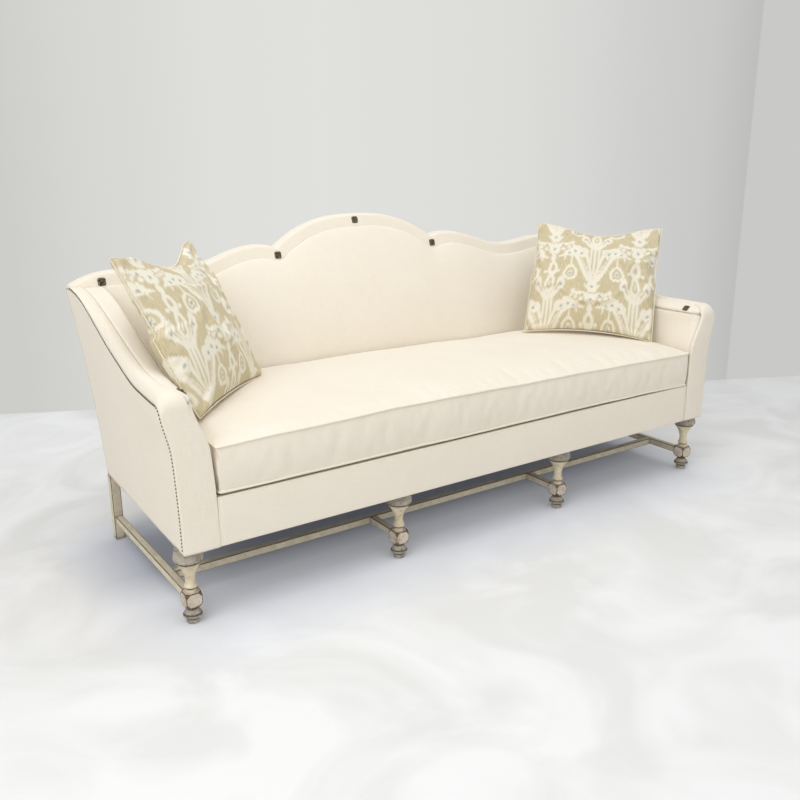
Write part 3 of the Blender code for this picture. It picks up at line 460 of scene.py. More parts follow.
# Materials

def linear(code):
    """An sRGB hex colour as linear red, green, blue and alpha."""
    value = np.array([int(code[i:i + 2], 16) for i in (1, 3, 5)]) / 255
    value = np.where(value <= 0.04045, value / 12.92, ((value + 0.055) / 1.055) ** 2.4)
    return (*value.tolist(), 1.0)


def repeats(millimetres):
    """How many repeats of a pattern of that size fit in a metre."""
    return 1000 / millimetres


def add_node(tree, kind, values=None, links=None, stops=(), **settings):
    """Adds a node of a kind with its settings, input values, links from other sockets and colour stops."""
    node = tree.nodes.new(kind)
    for key, value in settings.items():
        setattr(node, key, value)
    for key, value in (values or {}).items():
        node.inputs[key].default_value = value
    for key, socket in (links or {}).items():
        tree.links.new(socket, node.inputs[key])
    if stops:
        steps = node.color_ramp.elements
        steps.remove(steps[1])
        steps[0].position, steps[0].color = stops[0][0], linear(stops[0][1])
        for share, tone in stops[1:]:
            steps.new(share).color = linear(tone)
    return node


def start_material(name, **shader_values):
    """An empty node material with one Principled BSDF, whose fixed values are set on its own sockets."""
    material = bpy.data.materials.new(name)
    material.use_nodes = True
    tree = material.node_tree
    tree.nodes.clear()
    shader = add_node(tree, "ShaderNodeBsdfPrincipled",
                      {key.replace("_", " "): value for key, value in shader_values.items()})
    add_node(tree, "ShaderNodeOutputMaterial", links={"Surface": shader.outputs[0]})
    return material, tree, shader


def dress(tree, shader, colour, height=None, strength=0.0, relief=0.0):
    """Gives a shader its colour and, where a pattern's height is given, its relief in metres."""
    tree.links.new(colour, shader.inputs["Base Color"])
    if height:
        bump = add_node(tree, "ShaderNodeBump", {"Strength": strength, "Distance": relief},
                        {"Height": height})
        tree.links.new(bump.outputs[0], shader.inputs["Normal"])


def woven_linen(name, light, dark):
    """Linen and cotton, plain weave, undyed: uneven slub threads both ways that catch a soft light."""
    material, tree, shader = start_material(name, Roughness=0.92, Sheen_Weight=0.12, Sheen_Roughness=0.5,
                                            Specular_IOR_Level=0.15)
    cloth = add_node(tree, "ShaderNodeUVMap", uv_map="cloth")
    place = add_node(tree, "ShaderNodeTexCoord")
    # The threads are 1 mm apart, drawn nearly twice as coarse so that they show, with slubs 45 mm long
    thread, slub, cloud_size = repeats(1.923), repeats(45.45), repeats(200)
    ways = []
    for stretch in ((thread, slub, 1), (slub, thread, 1)):
        turned = add_node(tree, "ShaderNodeMapping", {"Scale": stretch}, {"Vector": cloth.outputs[0]})
        ways.append(add_node(tree, "ShaderNodeTexNoise", {"Scale": 1.0, "Detail": 2.0},
                             {"Vector": turned.outputs[0]}))
    weave = add_node(tree, "ShaderNodeMix", {0: 0.5}, {2: ways[0].outputs[0], 3: ways[1].outputs[0]},
                     data_type="FLOAT")
    cloud = add_node(tree, "ShaderNodeTexNoise", {"Scale": cloud_size, "Detail": 2.0},
                     {"Vector": place.outputs["Object"]})
    tone = add_node(tree, "ShaderNodeMix", {0: 0.25}, {2: weave.outputs[0], 3: cloud.outputs[0]},
                    data_type="FLOAT")
    shade = add_node(tree, "ShaderNodeValToRGB", links={0: tone.outputs[0]},
                     stops=((0.36, dark), (0.60, light)))
    dress(tree, shader, shade.outputs[0], weave.outputs[0], 0.25, 0.0006)
    return material


def printed_cotton():
    """Cotton with a warp-dyed print: khaki ground, off-white figures with feathered ends, grey-blue dots."""
    material, tree, shader = start_material("ikat_cotton", Roughness=0.9, Sheen_Weight=0.1,
                                            Specular_IOR_Level=0.15)
    cloth = add_node(tree, "ShaderNodeUVMap", uv_map="cloth")
    # The warp is under 1 mm apart, drawn 1.7 mm apart so that it shows, in streaks 25 mm long
    streak = (repeats(1.667), repeats(25), 1)
    turned = add_node(tree, "ShaderNodeMapping", {"Scale": streak}, {"Vector": cloth.outputs[0]})
    thread = add_node(tree, "ShaderNodeTexNoise", {"Scale": 1.0, "Detail": 2.0},
                      {"Vector": turned.outputs[0]})
    colour = add_node(tree, "ShaderNodeValToRGB", links={0: thread.outputs[0]},
                      stops=((0.3, "#BDAF8B"), (0.7, "#D4C8A8"))).outputs[0]
    for mark, tone in (("figure", "#E6DFCD"), ("dots", "#A9AEA6")):
        share = add_node(tree, "ShaderNodeAttribute", attribute_name=mark)
        colour = add_node(tree, "ShaderNodeMix", {7: linear(tone)}, {0: share.outputs["Fac"], 6: colour},
                          data_type="RGBA").outputs[2]
    dress(tree, shader, colour, thread.outputs[0], 0.2, 0.0005)
    return material


def distressed_paint(name, light, dark, under, wear):
    """Rubbed and glazed hardwood: chalky paint, brown glaze in the grooves, bare wood on the edges."""
    material, tree, shader = start_material(name, Roughness=0.62, Specular_IOR_Level=0.3)
    place = add_node(tree, "ShaderNodeTexCoord")
    # Brush clouds 31 mm across, and rubbed flecks of 8 mm and less
    broad, fine = (add_node(tree, "ShaderNodeTexNoise", {"Scale": size, "Detail": 5.0, "Roughness": rough},
                            {"Vector": place.outputs["Object"]})
                   for size, rough in ((repeats(31.25), 0.65), (repeats(8.333), 0.7)))
    coat = add_node(tree, "ShaderNodeValToRGB", links={0: broad.outputs[0]},
                    stops=((0.36, dark), (0.60, light)))
    rubbed, glazed = (add_node(tree, "ShaderNodeAttribute", attribute_name=mark)
                      for mark in ("rubbed", "glazed"))
    more = add_node(tree, "ShaderNodeMath", {1: 0.13, 2: wear}, {0: rubbed.outputs["Fac"]},
                    operation="MULTIPLY_ADD")
    worn = add_node(tree, "ShaderNodeMath", links={0: fine.outputs[0], 1: more.outputs[0]}, operation="ADD")
    spots = add_node(tree, "ShaderNodeMapRange", {"From Min": 0.61, "From Max": 0.76},
                     {"Value": worn.outputs[0]})
    bare = add_node(tree, "ShaderNodeMix", {7: linear(under)}, {0: spots.outputs[0], 6: coat.outputs[0]},
                    data_type="RGBA")
    held = add_node(tree, "ShaderNodeMath", links={0: glazed.outputs["Fac"], 1: broad.outputs[0]},
                    operation="ADD")
    dirt = add_node(tree, "ShaderNodeMapRange", {"From Min": 0.72, "From Max": 1.25, "To Max": 0.9},
                    {"Value": held.outputs[0]})
    colour = add_node(tree, "ShaderNodeMix", {7: linear("#4E4030")}, {0: dirt.outputs[0], 6: bare.outputs[2]},
                      data_type="RGBA")
    dress(tree, shader, colour.outputs[2], worn.outputs[0], 0.35, 0.0007)
    return material


def mottled(name, sizes, detail, stops, strength=0.0, relief=0.0, **shader_values):
    """A finish in two tones of one noise pattern, whose sizes in millimetres run along X, Y and Z."""
    material, tree, shader = start_material(name, **shader_values)
    place = add_node(tree, "ShaderNodeTexCoord")
    spread = add_node(tree, "ShaderNodeMapping", {"Scale": [repeats(size) for size in sizes]},
                      {"Vector": place.outputs["Object"]})
    pattern = add_node(tree, "ShaderNodeTexNoise", {"Scale": 1.0, "Detail": detail},
                       {"Vector": spread.outputs[0]})
    shade = add_node(tree, "ShaderNodeValToRGB", links={0: pattern.outputs[0]}, stops=stops)
    dress(tree, shader, shade.outputs[0], pattern.outputs[0] if strength else None, strength, relief)
    return material


linen = woven_linen("cream_linen", "#EFE6D6", "#E9DFCD")
piping = woven_linen("ikat_piping", "#EDE5CC", "#D8CCA8")
ikat = printed_cotton()
cream_paint = distressed_paint("distressed_cream_paint", "#E4D7BA", "#CBBD9E", "#77634A", 0.03)
silver_paint = distressed_paint("rubbed_silver_glaze", "#B7AE9F", "#8E8779", "#634A40", 0.065)
block_paint = distressed_paint("distressed_block_paint", "#D8C9B8", "#BBAA96", "#64503F", 0.05)
bar_paint = distressed_paint("distressed_bar_paint", "#E2D7BE", "#CFC3A9", "#8E7857", 0.0)
# Cast bronze, darkened and rubbed: brown-black in its hollows, dull warm metal on top
bronze = mottled("aged_bronze", (3.846, 3.846, 3.846), 3.0, ((0.35, "#3A3226"), (0.70, "#8D8168")),
                 0.4, 0.0004, Metallic=0.85, Roughness=0.48)
# Kiln-dried hardwood, sawn: pale brown, with straight grain 11 mm wide
timber = mottled("sawn_hardwood", (166.7, 11.11, 11.11), 4.0, ((0.35, "#A47F52"), (0.65, "#C9A877")),
                 Roughness=0.7)
# Cotton felt and non-woven polypropylene: matted fibres in clumps of 5 mm, slightly cloudy
felt = mottled("deck_felt", (5.556, 5.556, 5.556), 4.0, ((0, "#CFC6B2"), (1, "#E4DCCB")),
               Roughness=0.95, Specular_IOR_Level=0.2)
dust_cloth = mottled("dust_cloth", (5.556, 5.556, 5.556), 4.0, ((0, "#86888D"), (1, "#9A9CA1")),
                     Roughness=0.95, Specular_IOR_Level=0.2)
# Spring steel wire, drawn and oil-tempered: dark blue-grey with a dull shine
wire = mottled("spring_steel_wire", (11.11, 11.11, 11.11), 2.0, ((0, "#55585E"), (1, "#8A8C90")),
               Metallic=1.0, Roughness=0.4)


# The back

def border_band():
    """The recessed band: front face, rolled top edge and a fold over the back, carried along the crest."""
    front_roll, rear_roll, end_roll, crown = 0.009, 0.007, 0.006, 0.0015
    x = crest_places()
    quarter = np.linspace(0, np.pi / 2, 7)
    low = BAND_WIDTH + BAND_TUCK
    over = np.array([0.2, 0.4, 0.6, 0.8])
    drop = np.concatenate([np.linspace(low, front_roll, 7)[:-1], front_roll * (1 - np.sin(quarter)),
                           -crown * np.sin(np.pi * over),
                           rear_roll * (1 - np.cos(quarter)), [BAND_FOLD, BAND_FOLD, BAND_FOLD, low]])
    shift = np.concatenate([np.zeros(6), front_roll * (1 - np.cos(quarter)),
                            front_roll - (rear_roll + front_roll) * over,
                            -rear_roll * (1 - np.sin(quarter)),
                            [0, -BAND_THICKNESS, BAND_THICKNESS, BAND_THICKNESS]])
    rear = np.concatenate([np.zeros(6 + len(quarter)), over, np.ones(len(quarter)), [1, 1, 0, 0]])
    near_end = np.clip((np.abs(x) - CORNER_X + end_roll) / end_roll, 0, 1)
    round_off = end_roll * (1 - np.sqrt(1 - near_end ** 2)) * 0.8
    top = crest(x)
    z = (top - round_off)[:, None] - drop
    y = back_face(z) * (1 - rear) + rear_face(z) * rear + shift + round_off[:, None] * (1 - 2 * rear)
    tucked = np.arange(len(drop)) >= len(drop) - 3
    wide = np.where(tucked, HALF_LENGTH - COVER_THICKNESS - SHELL_GAP, HALF_LENGTH)
    spread = (x / (BACK_HALF + sweep(top)))[:, None]
    rings = np.stack([spread * (wide + sweep(z) - taper(y)), y, z], -1)
    loft("border_band_linen", rings, linen, "frame", ["back_border_band"])


def back_cushioning():
    """Inside back: padded between the band, the arms and the seat, highest in its middle."""
    s = crest_places() / CORNER_X
    side = ARM_INNER_X - 5 * SEAT_GAP
    limit = side + sweep(CORNER_Z - BAND_WIDTH) - taper(back_face(CORNER_Z))
    top = pad_line(s * limit)
    bottom = DECK_TOP + SEAT_GAP
    rows = 72
    v = ease(np.arange(rows + 1) / rows)
    z = bottom + (top - bottom)[:, None] * v
    swell = np.sin(np.pi * v).clip(0) ** 0.6 * np.sqrt((1 - np.abs(s) ** 8).clip(0))[:, None]
    y = back_face(z) - SEAT_GAP - PAD_EDGE - PAD_CROWN * swell
    rear = back_face(z) - SEAT_GAP

    def placed(depth):
        """Points at that depth, spread from arm to arm."""
        return np.stack([s[:, None] * (side + sweep(z) - taper(depth)), depth, z], -1)

    piece = panel("inside_back_linen", placed(y), placed(rear), linen, "frame",
                  ["inside_back_pad"])


def outside_back():
    """The flat rear panel, drawn tight from the rails to the fold of the band."""
    x = crest_places()
    top_line = crest(x) - BAND_FOLD - SHELL_GAP
    limit = HALF_LENGTH - COVER_THICKNESS - SHELL_GAP
    rows = 40
    v = np.arange(rows + 1) / rows
    z = LEG_HEIGHT + (top_line - LEG_HEIGHT)[:, None] * v
    spread = (x / CORNER_X)[:, None]
    edge = np.minimum(1, np.minimum(v, 1 - v)[None] * 12) * np.minimum(1, (1 - np.abs(spread)) * 20)
    y = rear_face(z) + PANEL_SWELL * ease(edge)

    def placed(depth):
        """Points at that depth, spread from corner to corner."""
        return np.stack([spread * (limit + sweep(z) - taper(rear_face(z))), depth, z], -1)

    panel("outside_back_linen", placed(y), placed(rear_face(z) - COVER_THICKNESS), linen, "frame",
          ["outside_back"])


# The arms

def strip_path():
    """Outer line of an arm's strip in the YZ plane, up the front, round the bend and up to the back."""
    up = np.linspace(LEG_HEIGHT, ARM_FRONT_Z - BEND_RADIUS, 60)[:-1]
    angle = np.linspace(0, np.pi / 2, 16)
    bend_y = FACE_Y + BEND_RADIUS * (1 - np.cos(angle))
    bend_z = arm_top(bend_y) - BEND_RADIUS * (1 - np.sin(angle))
    run = np.linspace(FACE_Y + BEND_RADIUS, back_face(CORNER_Z) - SEAT_GAP, 110)[1:]
    return np.concatenate([np.stack([np.full(len(up), FACE_Y), up], 1), np.stack([bend_y, bend_z], 1),
                           np.stack([run, arm_top(run)], 1)])


def path_inward(path):
    """The direction into the arm at each point of its strip's line, square to the line."""
    ahead = unit(np.gradient(path, axis=0))
    return np.stack([ahead[:, 1], -ahead[:, 0]], 1)


def arm_strip(side, word):
    """Front and top of an arm in one run: a padded strip, soft inside and rolled over its outer edge."""
    tight, sharp, plump, swell = 0.0035, 0.0014, 0.0072, 0.0018
    plump_from, plump_run = DECK_TOP + 0.02, 0.12
    path = strip_path()
    inward = path_inward(path)
    one = np.ones((len(path), 1))
    edge = strip_inner_edge(path[:, :1], path[:, 1:])
    soft = sharp + (plump - sharp) * ease((path[:, 1:] - plump_from) / plump_run)
    quarter = np.linspace(0, np.pi / 2, 7)
    u = np.linspace(0, 1, 25)[1:-1]
    start, end = edge + soft, ARM_WIDTH - tight
    back = np.linspace(1, 0, 9)
    across = np.concatenate([edge + soft * (1 - np.cos(quarter)), start + (end - start) * u,
                             (ARM_WIDTH - tight * (1 - np.sin(quarter))) * one,
                             edge + (ARM_WIDTH - edge) * back], 1)
    out = np.concatenate([-soft * (1 - np.sin(quarter)), swell * np.sin(np.pi * u) ** 0.8 * one,
                          -tight * (1 - np.cos(quarter)) * one, -STRIP_THICKNESS * one * np.ones(9)], 1)
    y = path[:, :1] - inward[:, :1] * out
    z = np.maximum(path[:, 1:] - inward[:, 1:] * out, LEG_HEIGHT)
    y = np.minimum(y, back_face(z) - SEAT_GAP)
    loft(f"arm_strip_linen_{word}", cover_point(side, across, y, z), linen, "frame",
         [f"arm_strip_{word}"])


def outside_arm(side, word):
    """The flat outer panel of an arm, under the strip and out to the rear corner."""
    place = arm_places(70)
    top, depth = arm_section(place, rear_face, arm_under, 2 * SHELL_GAP, CORNER_Z - BAND_FOLD - SHELL_GAP)
    rows = 56
    v = np.arange(rows + 1) / rows
    z = LEG_HEIGHT + (top - LEG_HEIGHT)[:, None] * v
    y = np.stack([depth(z[:, k]) for k in range(rows + 1)], 1)
    u = ((place - place[0]) / (place[-1] - place[0]))[:, None]
    edge = np.minimum(1, np.minimum(v, 1 - v)[None] * 10) * np.minimum(1, np.minimum(u, 1 - u) * 14)
    panel(f"outside_arm_linen_{word}", cover_point(side, ARM_WIDTH + PANEL_SWELL * ease(edge), y, z),
          cover_point(side, ARM_WIDTH - COVER_THICKNESS, y, z), linen, "frame",
          [f"outside_arm_{word}"])


def pad_end(z):
    """Where an arm's band and pad end, just in front of the back's band."""
    return back_face(z) - SHELL_GAP


def pad_shoulder(place, z):
    """How far the pad's front end turns outwards: a quarter ellipse nearly as deep as the strip's edge."""
    round_by = PAD_ROUND + 0.9 * strip_inner_edge(FACE_Y, z)
    near = np.clip(1 - (place - CORE_Y) / (1.3 * round_by), 0, 1)
    return round_by * (1 - np.sqrt(1 - near ** 2))


def arm_band(side, word):
    """The recessed band on an arm's inner shoulder, between the pad and the strip, down to the front bend."""
    place = arm_places(70)
    place = place[place > CORE_Y + 0.003]
    top, depth = arm_section(place, pad_end, arm_over, ARM_BAND_RECESS, CORNER_Z)
    low, _ = arm_section(place, pad_end, arm_under, ARM_BAND_RECESS, CORNER_Z)
    bend_y = FACE_Y + BEND_RADIUS
    reach = np.minimum(depth(low), depth(top))
    reach = reach - np.clip(bend_y - reach, 0, None) * STRIP_THICKNESS / (BEND_RADIUS - STRIP_THICKNESS)
    wide = strip_inner_edge(reach, 1.0) - SHELL_GAP - ARM_BAND_RECESS
    v = np.linspace(0, 1, 15)
    inner = np.minimum(pad_shoulder(place, top), wide - 0.0005)
    across = ARM_BAND_RECESS + inner[:, None] + (wide - inner)[:, None] * v
    seam_turn, pad_turn = 0.0020, 0.0012
    turn = (seam_turn * (1 - np.minimum(1, (1 - v) * 8) ** 0.5)
            + pad_turn * (1 - np.minimum(1, v * 8) ** 0.5))
    panel(f"arm_band_linen_{word}", cover_point(side, across, depth(top)[:, None], top[:, None] - turn),
          cover_point(side, across, depth(low)[:, None], low[:, None]), linen, "frame",
          [f"arm_band_{word}"])


def arm_cushioning(side, word):
    """The padded inside of an arm, under its band; its front end is turned round into the strip's edge."""
    dense = 0.040
    place = np.concatenate([CORE_Y + dense * np.linspace(0, 1, 16, endpoint=False) ** 2,
                            np.linspace(CORE_Y + dense, back_face(CORNER_Z), 70)])
    top, depth = arm_section(place, pad_end, arm_under, ARM_BAND_RECESS + SHELL_GAP, CORNER_Z)
    bottom = DECK_TOP + SEAT_GAP
    rows = 56
    v = ease(np.arange(rows + 1) / rows)
    z = bottom + (top - bottom)[:, None] * v
    y = np.stack([depth(z[:, k]) for k in range(rows + 1)], 1)
    u = ((place - CORE_Y) / (back_face(CORNER_Z) - CORE_Y) / 0.93).clip(0, 1)
    swell = (np.sin(np.pi * v).clip(0) ** 0.5)[None] * (np.sin(np.pi * u).clip(0) ** 0.4)[:, None]
    shoulder = pad_shoulder(place[:, None], z)
    lip = PAD_LIP * np.clip(1 - (1 - v) * 22, 0, 1) ** 2
    flat_end = np.clip(1 - shoulder / PAD_ROUND, 0, 1)
    piece = panel(f"inside_arm_linen_{word}",
                  cover_point(side, shoulder + lip - ARM_PAD_CROWN * swell * flat_end, y, z),
                  cover_point(side, ARM_PAD_THICKNESS, y, z), linen, "frame",
                  [f"inside_arm_pad_{word}"])


# The seat

CUSHION_HALF = ARM_INNER_X - 0.003
CUSHION_FRONT = FACE_Y - 0.004
CUSHION_BACK = LEG_Y + BACK_DEPTH + 0.027
CUSHION_MIDDLE = (CUSHION_FRONT + CUSHION_BACK) / 2
CUSHION_CORNER = 0.013
CUSHION_CROWN = 0.031
CUSHION_BULGE = 0.0030
LEFT_LIFT = 0.0125
LOW_RISE = 0.0022
LOW_DROOP = 0.0090
WELT_Z = 0.502
WELT_ARCH = 0.012
WELT_RADIUS = 0.0035
WELT_PROUD = 0.0012
CUSHION_LEVELS = 12
BASE_SETBACK = 0.002


def front_border():
    """The rail's front cover: a strip with soft edges between the arms, rolled back under the cushion."""
    side = ARM_INNER_X - SEAT_GAP
    x = np.linspace(-side, side, 120)
    edge = 0.0035
    quarter = np.linspace(0, np.pi / 2, 6)
    rise = np.linspace(0.06, 0.97, 24)
    height = DECK_TOP - LEG_HEIGHT
    z = np.concatenate([edge * (1 - np.sin(quarter[::-1])), edge + (height - 2 * edge) * rise,
                        height - edge * (1 - np.sin(quarter)), [height, 0.0]])
    y = np.concatenate([edge * (1 - np.cos(quarter[::-1])), -0.0010 * np.sin(np.pi * rise),
                        edge * (1 - np.cos(quarter)), [STRIP_THICKNESS] * 2])
    y[:-2] += BORDER_SETBACK * np.clip(1 - (height - z[:-2]) / 0.050, 0, 1) ** 1.5
    rings = np.stack(np.broadcast_arrays(x[:, None], FACE_Y + y[None], LEG_HEIGHT + z[None]), -1)
    loft("front_border_linen", rings, linen, "frame", ["front_border"])


def cushion_outline(inset, counts=(150, 56)):
    """A rectangle with round corners, drawn in near its ends and narrower at the back: its loop of (x, y)."""
    half_x, half_y = CUSHION_HALF - inset, (CUSHION_BACK - CUSHION_FRONT) / 2 - inset
    radius = max(CUSHION_CORNER - inset, 0.006)
    quarter = np.linspace(0, np.pi / 4, 5)
    sides = []
    for length, width, count in ((half_x, half_y, counts[0]), (half_y, half_x, counts[1])):
        run = np.linspace(-(length - radius), length - radius, count - 8 + 2)[1:-1]
        start = np.stack([-(length - radius) - radius * np.sin(quarter[::-1]),
                          -width + radius * (1 - np.cos(quarter[::-1]))], 1)
        straight = np.stack([run, np.full(len(run), -width)], 1)
        sides.append(np.concatenate([start, straight, start[::-1] * [-1, 1]]))
    front, side = sides
    turned = [front, np.stack([-side[:, 1], side[:, 0]], 1), -front, np.stack([side[:, 1], -side[:, 0]], 1)]
    out = []
    for edge in turned:
        ax, ay = np.abs(edge[:, 0]) / half_x, edge[:, 1] / half_y
        pull = 0.003 * (1 - ay ** 2) * np.clip((ax - 0.75) / 0.25, 0, 1)
        y = CUSHION_MIDDLE + edge[:, 1]
        x = (edge[:, 0] - np.sign(edge[:, 0]) * pull) * (1 - taper(y) / ARM_INNER_X)
        out.append(np.stack([x, y], 1))
    return out


def coons(sides):
    """A grid filled in between the four sides of a loop: the sum of both rulings less the corners' plane."""
    south, east, north, west = sides
    north, west = north[::-1], west[::-1]
    u = np.linspace(0, 1, len(south))[None, :, None]
    v = np.linspace(0, 1, len(east))[:, None, None]
    ruled = (1 - v) * south[None] + v * north[None] + (1 - u) * west[:, None] + u * east[:, None]
    corners = ((1 - v) * ((1 - u) * south[0] + u * south[-1]) + v * ((1 - u) * north[0] + u * north[-1]))
    return ruled - corners


def welt_waver(spots, seed):
    """A hand-sewn line's waver: three seeded sine waves along the seam, under 2 mm high in all."""
    random = np.random.default_rng(seed)
    run = spots[..., 0] + 0.7 * spots[..., 1]
    return sum(np.sin(run * rate + phase) * size for rate, phase, size in
               zip((9.0, 17.0, 31.0), random.uniform(0, 6.28, 3), (0.0009, 0.0006, 0.0004)))


def cushion_top(spots, u, v):
    """Height of the top panel: the welt's line plus a crown that falls off by powers of u and v.

    The welt is an arch by the square of x, and it rises in a straight line towards the left end.
    """
    share = spots[..., 0] / CUSHION_HALF
    lift = LEFT_LIFT * np.clip((0.45 - share) / 0.9, 0, 1)
    seam = WELT_Z + lift + WELT_ARCH * (1 - share ** 2) + welt_waver(spots, 3)
    return seam + (CUSHION_CROWN - lift) * (1 - np.abs(v) ** 2.4) * (1 - np.abs(u) ** 9).clip(0) ** 0.7


def cushion_base(spots, u, v):
    """Height of the bottom panel: the low welt's line, which sinks by a power of 1.3 to the deck inside it.

    In front the welt stands a little high, and it droops by a power of 1.5 towards the right end.
    """
    rest_z = DECK_TOP + SEAT_GAP
    front = np.clip(1 - (spots[..., 1] - CUSHION_FRONT) / 0.12, 0, 1) ** 2
    droop = LOW_DROOP * np.clip((spots[..., 0] / CUSHION_HALF - 0.55) / 0.4, 0, 1) ** 1.5 - LOW_RISE
    seam = rest_z + 3 * WELT_RADIUS + welt_waver(spots, 8) - front * droop
    inside = np.minimum((1 - np.abs(v)) * 0.33, (1 - np.abs(u)) * 0.95) / 0.060
    return seam + (rest_z + SHELL_GAP - seam) * np.clip(inside, 0, 1) ** 1.3


def seat_cushion():
    """Bench cushion: two crowned panels and a border between two welts, blown up while the seams hold.

    The border is ruled from seam to seam, and bulges outwards by a power of a sine of the way up.
    """
    top, bottom = (coons(cushion_outline(WELT_RADIUS + setback)) for setback in (0, BASE_SETBACK))
    rows, columns = top.shape[:2]
    count = rows * columns
    v = np.linspace(-1, 1, rows)[:, None]
    u = np.linspace(-1, 1, columns)[None]
    upper, lower = (np.concatenate([spots, height(spots, u, v)[..., None]], -1).reshape(-1, 3)
                    for spots, height in ((top, cushion_top), (bottom, cushion_base)))
    loop = border_loop(rows, columns)
    t = np.arange(1, CUSHION_LEVELS)[:, None, None] / CUSHION_LEVELS
    between = lower[loop] * (1 - t) + upper[loop] * t
    centre = np.array([0, CUSHION_MIDDLE])
    between[..., :2] += CUSHION_BULGE * np.sin(np.pi * t) ** 0.6 * unit(between[0, :, :2] - centre)
    points = np.concatenate([upper, lower, between.reshape(-1, 3)])
    rings = np.arange(len(loop) * (CUSHION_LEVELS - 1)).reshape(CUSHION_LEVELS - 1, -1) + 2 * count
    rings = np.concatenate([(loop + count)[None], rings, loop[None]])
    low_row, high_row = rings[:-1], rings[1:]
    side_faces = np.stack([low_row, np.roll(low_row, -1, 1), np.roll(high_row, -1, 1), high_row], -1)
    quads = grid_faces(rows, columns)
    faces = np.concatenate([quads, quads[:, ::-1] + count, side_faces.reshape(-1, 4)])
    along = np.r_[0, np.cumsum(np.linalg.norm(np.diff(upper[loop], axis=0), axis=1))]
    side_uv = np.stack(np.broadcast_arrays(along[None], between[..., 2]), -1).reshape(-1, 2)
    uv = np.concatenate([upper[:, :2], lower[:, :2], side_uv])
    piece = new_piece("seat_cushion_linen", points, faces.tolist(), linen, "cushion", uv,
                      ["seat_cushion"])
    sewn = np.concatenate([loop, np.arange(count, 2 * count)])
    stuff(piece, sewn, pressure=1.2, growth=0.008, cap=0.007)
    soften(piece, 1)
    for word, line in (("top", upper[loop]), ("low", lower[loop])):
        path = line.copy()
        path[:, :2] += WELT_PROUD * unit(line[:, :2] - centre)
        keep = np.linalg.norm(np.roll(path, -1, 0) - path, axis=1) > 1e-4
        closed_cord(f"cushion_welt_{word}", path[keep], WELT_RADIUS, linen, "cushion")


# The pillows

PILLOW_WIDTH = 0.500
PILLOW_HEIGHT = 0.512
PILLOW_THICKNESS = 0.170
PILLOW_EDGE = 0.003
PILLOW_POINTS = 55
PIPING_RADIUS = 0.0021
LANE_WIDTH = 0.172
LANE_PERIOD = 0.500
LANE_START = 0.062
FIGURE_TAIL = 0.04
FEATHER = 0.0050
THREADS_PER_METRE = 500
PRINT_EDGE = 0.0055
DOT_RADIUS = 0.0058

# The print's figure, from its lane's middle line and from the bottom of one repeat, in metres
WHITE_DROPS = (  # middle, width and height
    (0, -0.014, 0.046, 0.058), (0, 0.052, 0.042, 0.066), (0.094, 0.118, 0.058, 0.072),
    (0.046, 0.318, 0.032, 0.060), (0, 0.320, 0.040, 0.100), (0, 0.392, 0.042, 0.070),
    (0, 0.442, 0.022, 0.036),
)
WHITE_BARS = (  # start, end and the half width at each
    ((0.010, 0.002), (0.074, 0.022), 0.012, 0.006), ((0.008, 0.028), (0.030, 0.054), 0.008, 0.003),
    ((0.014, 0.080), (0.070, 0.190), 0.013, 0.011), ((0.004, 0.092), (0.034, 0.196), 0.005, 0.007),
    ((0.052, 0.208), (0.112, 0.212), 0.026, 0.019), ((0.080, 0.226), (0.090, 0.220), 0.026, 0.022),
    ((0.110, 0.206), (0.150, 0.192), 0.014, 0.003), ((0.120, 0.186), (0.124, 0.174), 0.004, 0.002),
    ((0.094, 0.186), (0.094, 0.150), 0.003, 0.004), ((0.000, 0.110), (0.000, 0.290), 0.004, 0.007),
    ((0.016, 0.150), (0.014, 0.270), 0.004, 0.006), ((0.012, 0.250), (0.048, 0.312), 0.012, 0.013),
)
WHITE_DISCS = (  # middle and radius
    (0.036, -0.014, 0.009), (0.059, -0.004, 0.009), (0.078, 0.006, 0.007), (0.074, 0.030, 0.008),
    (0.028, 0.372, 0.008),
)
HOLE_DROPS = (  # middle, width and height
    (0.094, 0.118, 0.036, 0.046), (0, 0.316, 0.018, 0.060), (0, 0.392, 0.016, 0.030),
)
HOLE_BARS = (  # start, end and the half width at each
    ((0.026, 0.278), (0.044, 0.318), 0.0022, 0.0030), ((0.024, 0.110), (0.062, 0.190), 0.0014, 0.0020),
)
INNER_DROPS = ((0.094, 0.116, 0.018, 0.026), (0, 0.314, 0.007, 0.034))
DOTS = ((0.056, 0.206), (0.082, 0.216), (0.106, 0.206), (0.094, 0.114), (0.0, 0.048), (0.034, 0.004),
        (0.046, 0.308), (0.0, -0.016))


def drop_shape(x, y, cx, cy, width, height):
    """A drop standing on its round end: 1 in its middle, 0 on its outline, negative outside."""
    v = (y - cy) / height
    half = width / 2 * np.sqrt(np.clip(1 - (2 * v) ** 2, 0, None)) * (1 - 0.55 * v)
    return np.where(np.abs(v) < 0.5, half - np.abs(x - cx), -np.abs(x - cx) - 0.01)


def disc_shape(x, y, cx, cy, radius):
    """A disc: its radius less the distance from its middle."""
    return radius - np.hypot(x - cx, y - cy)


def bar_shape(x, y, a, b, start, end):
    """A bar between two points: its half width, from start to end, less the distance from its middle line."""
    (ax, ay), (bx, by) = a, b
    run, rise = bx - ax, by - ay
    t = np.clip(((x - ax) * run + (y - ay) * rise) / (run ** 2 + rise ** 2), 0, 1)
    return start + (end - start) * t - np.hypot(x - ax - t * run, y - ay - t * rise)


def ikat_layer(x, y, drops=(), bars=(), discs=()):
    """The union of drops, bars and discs: the largest of their distances inside."""
    return np.maximum.reduce([shape(x, y, *row) for shape, rows in ((drop_shape, drops), (bar_shape, bars),
                                                                    (disc_shape, discs)) for row in rows])


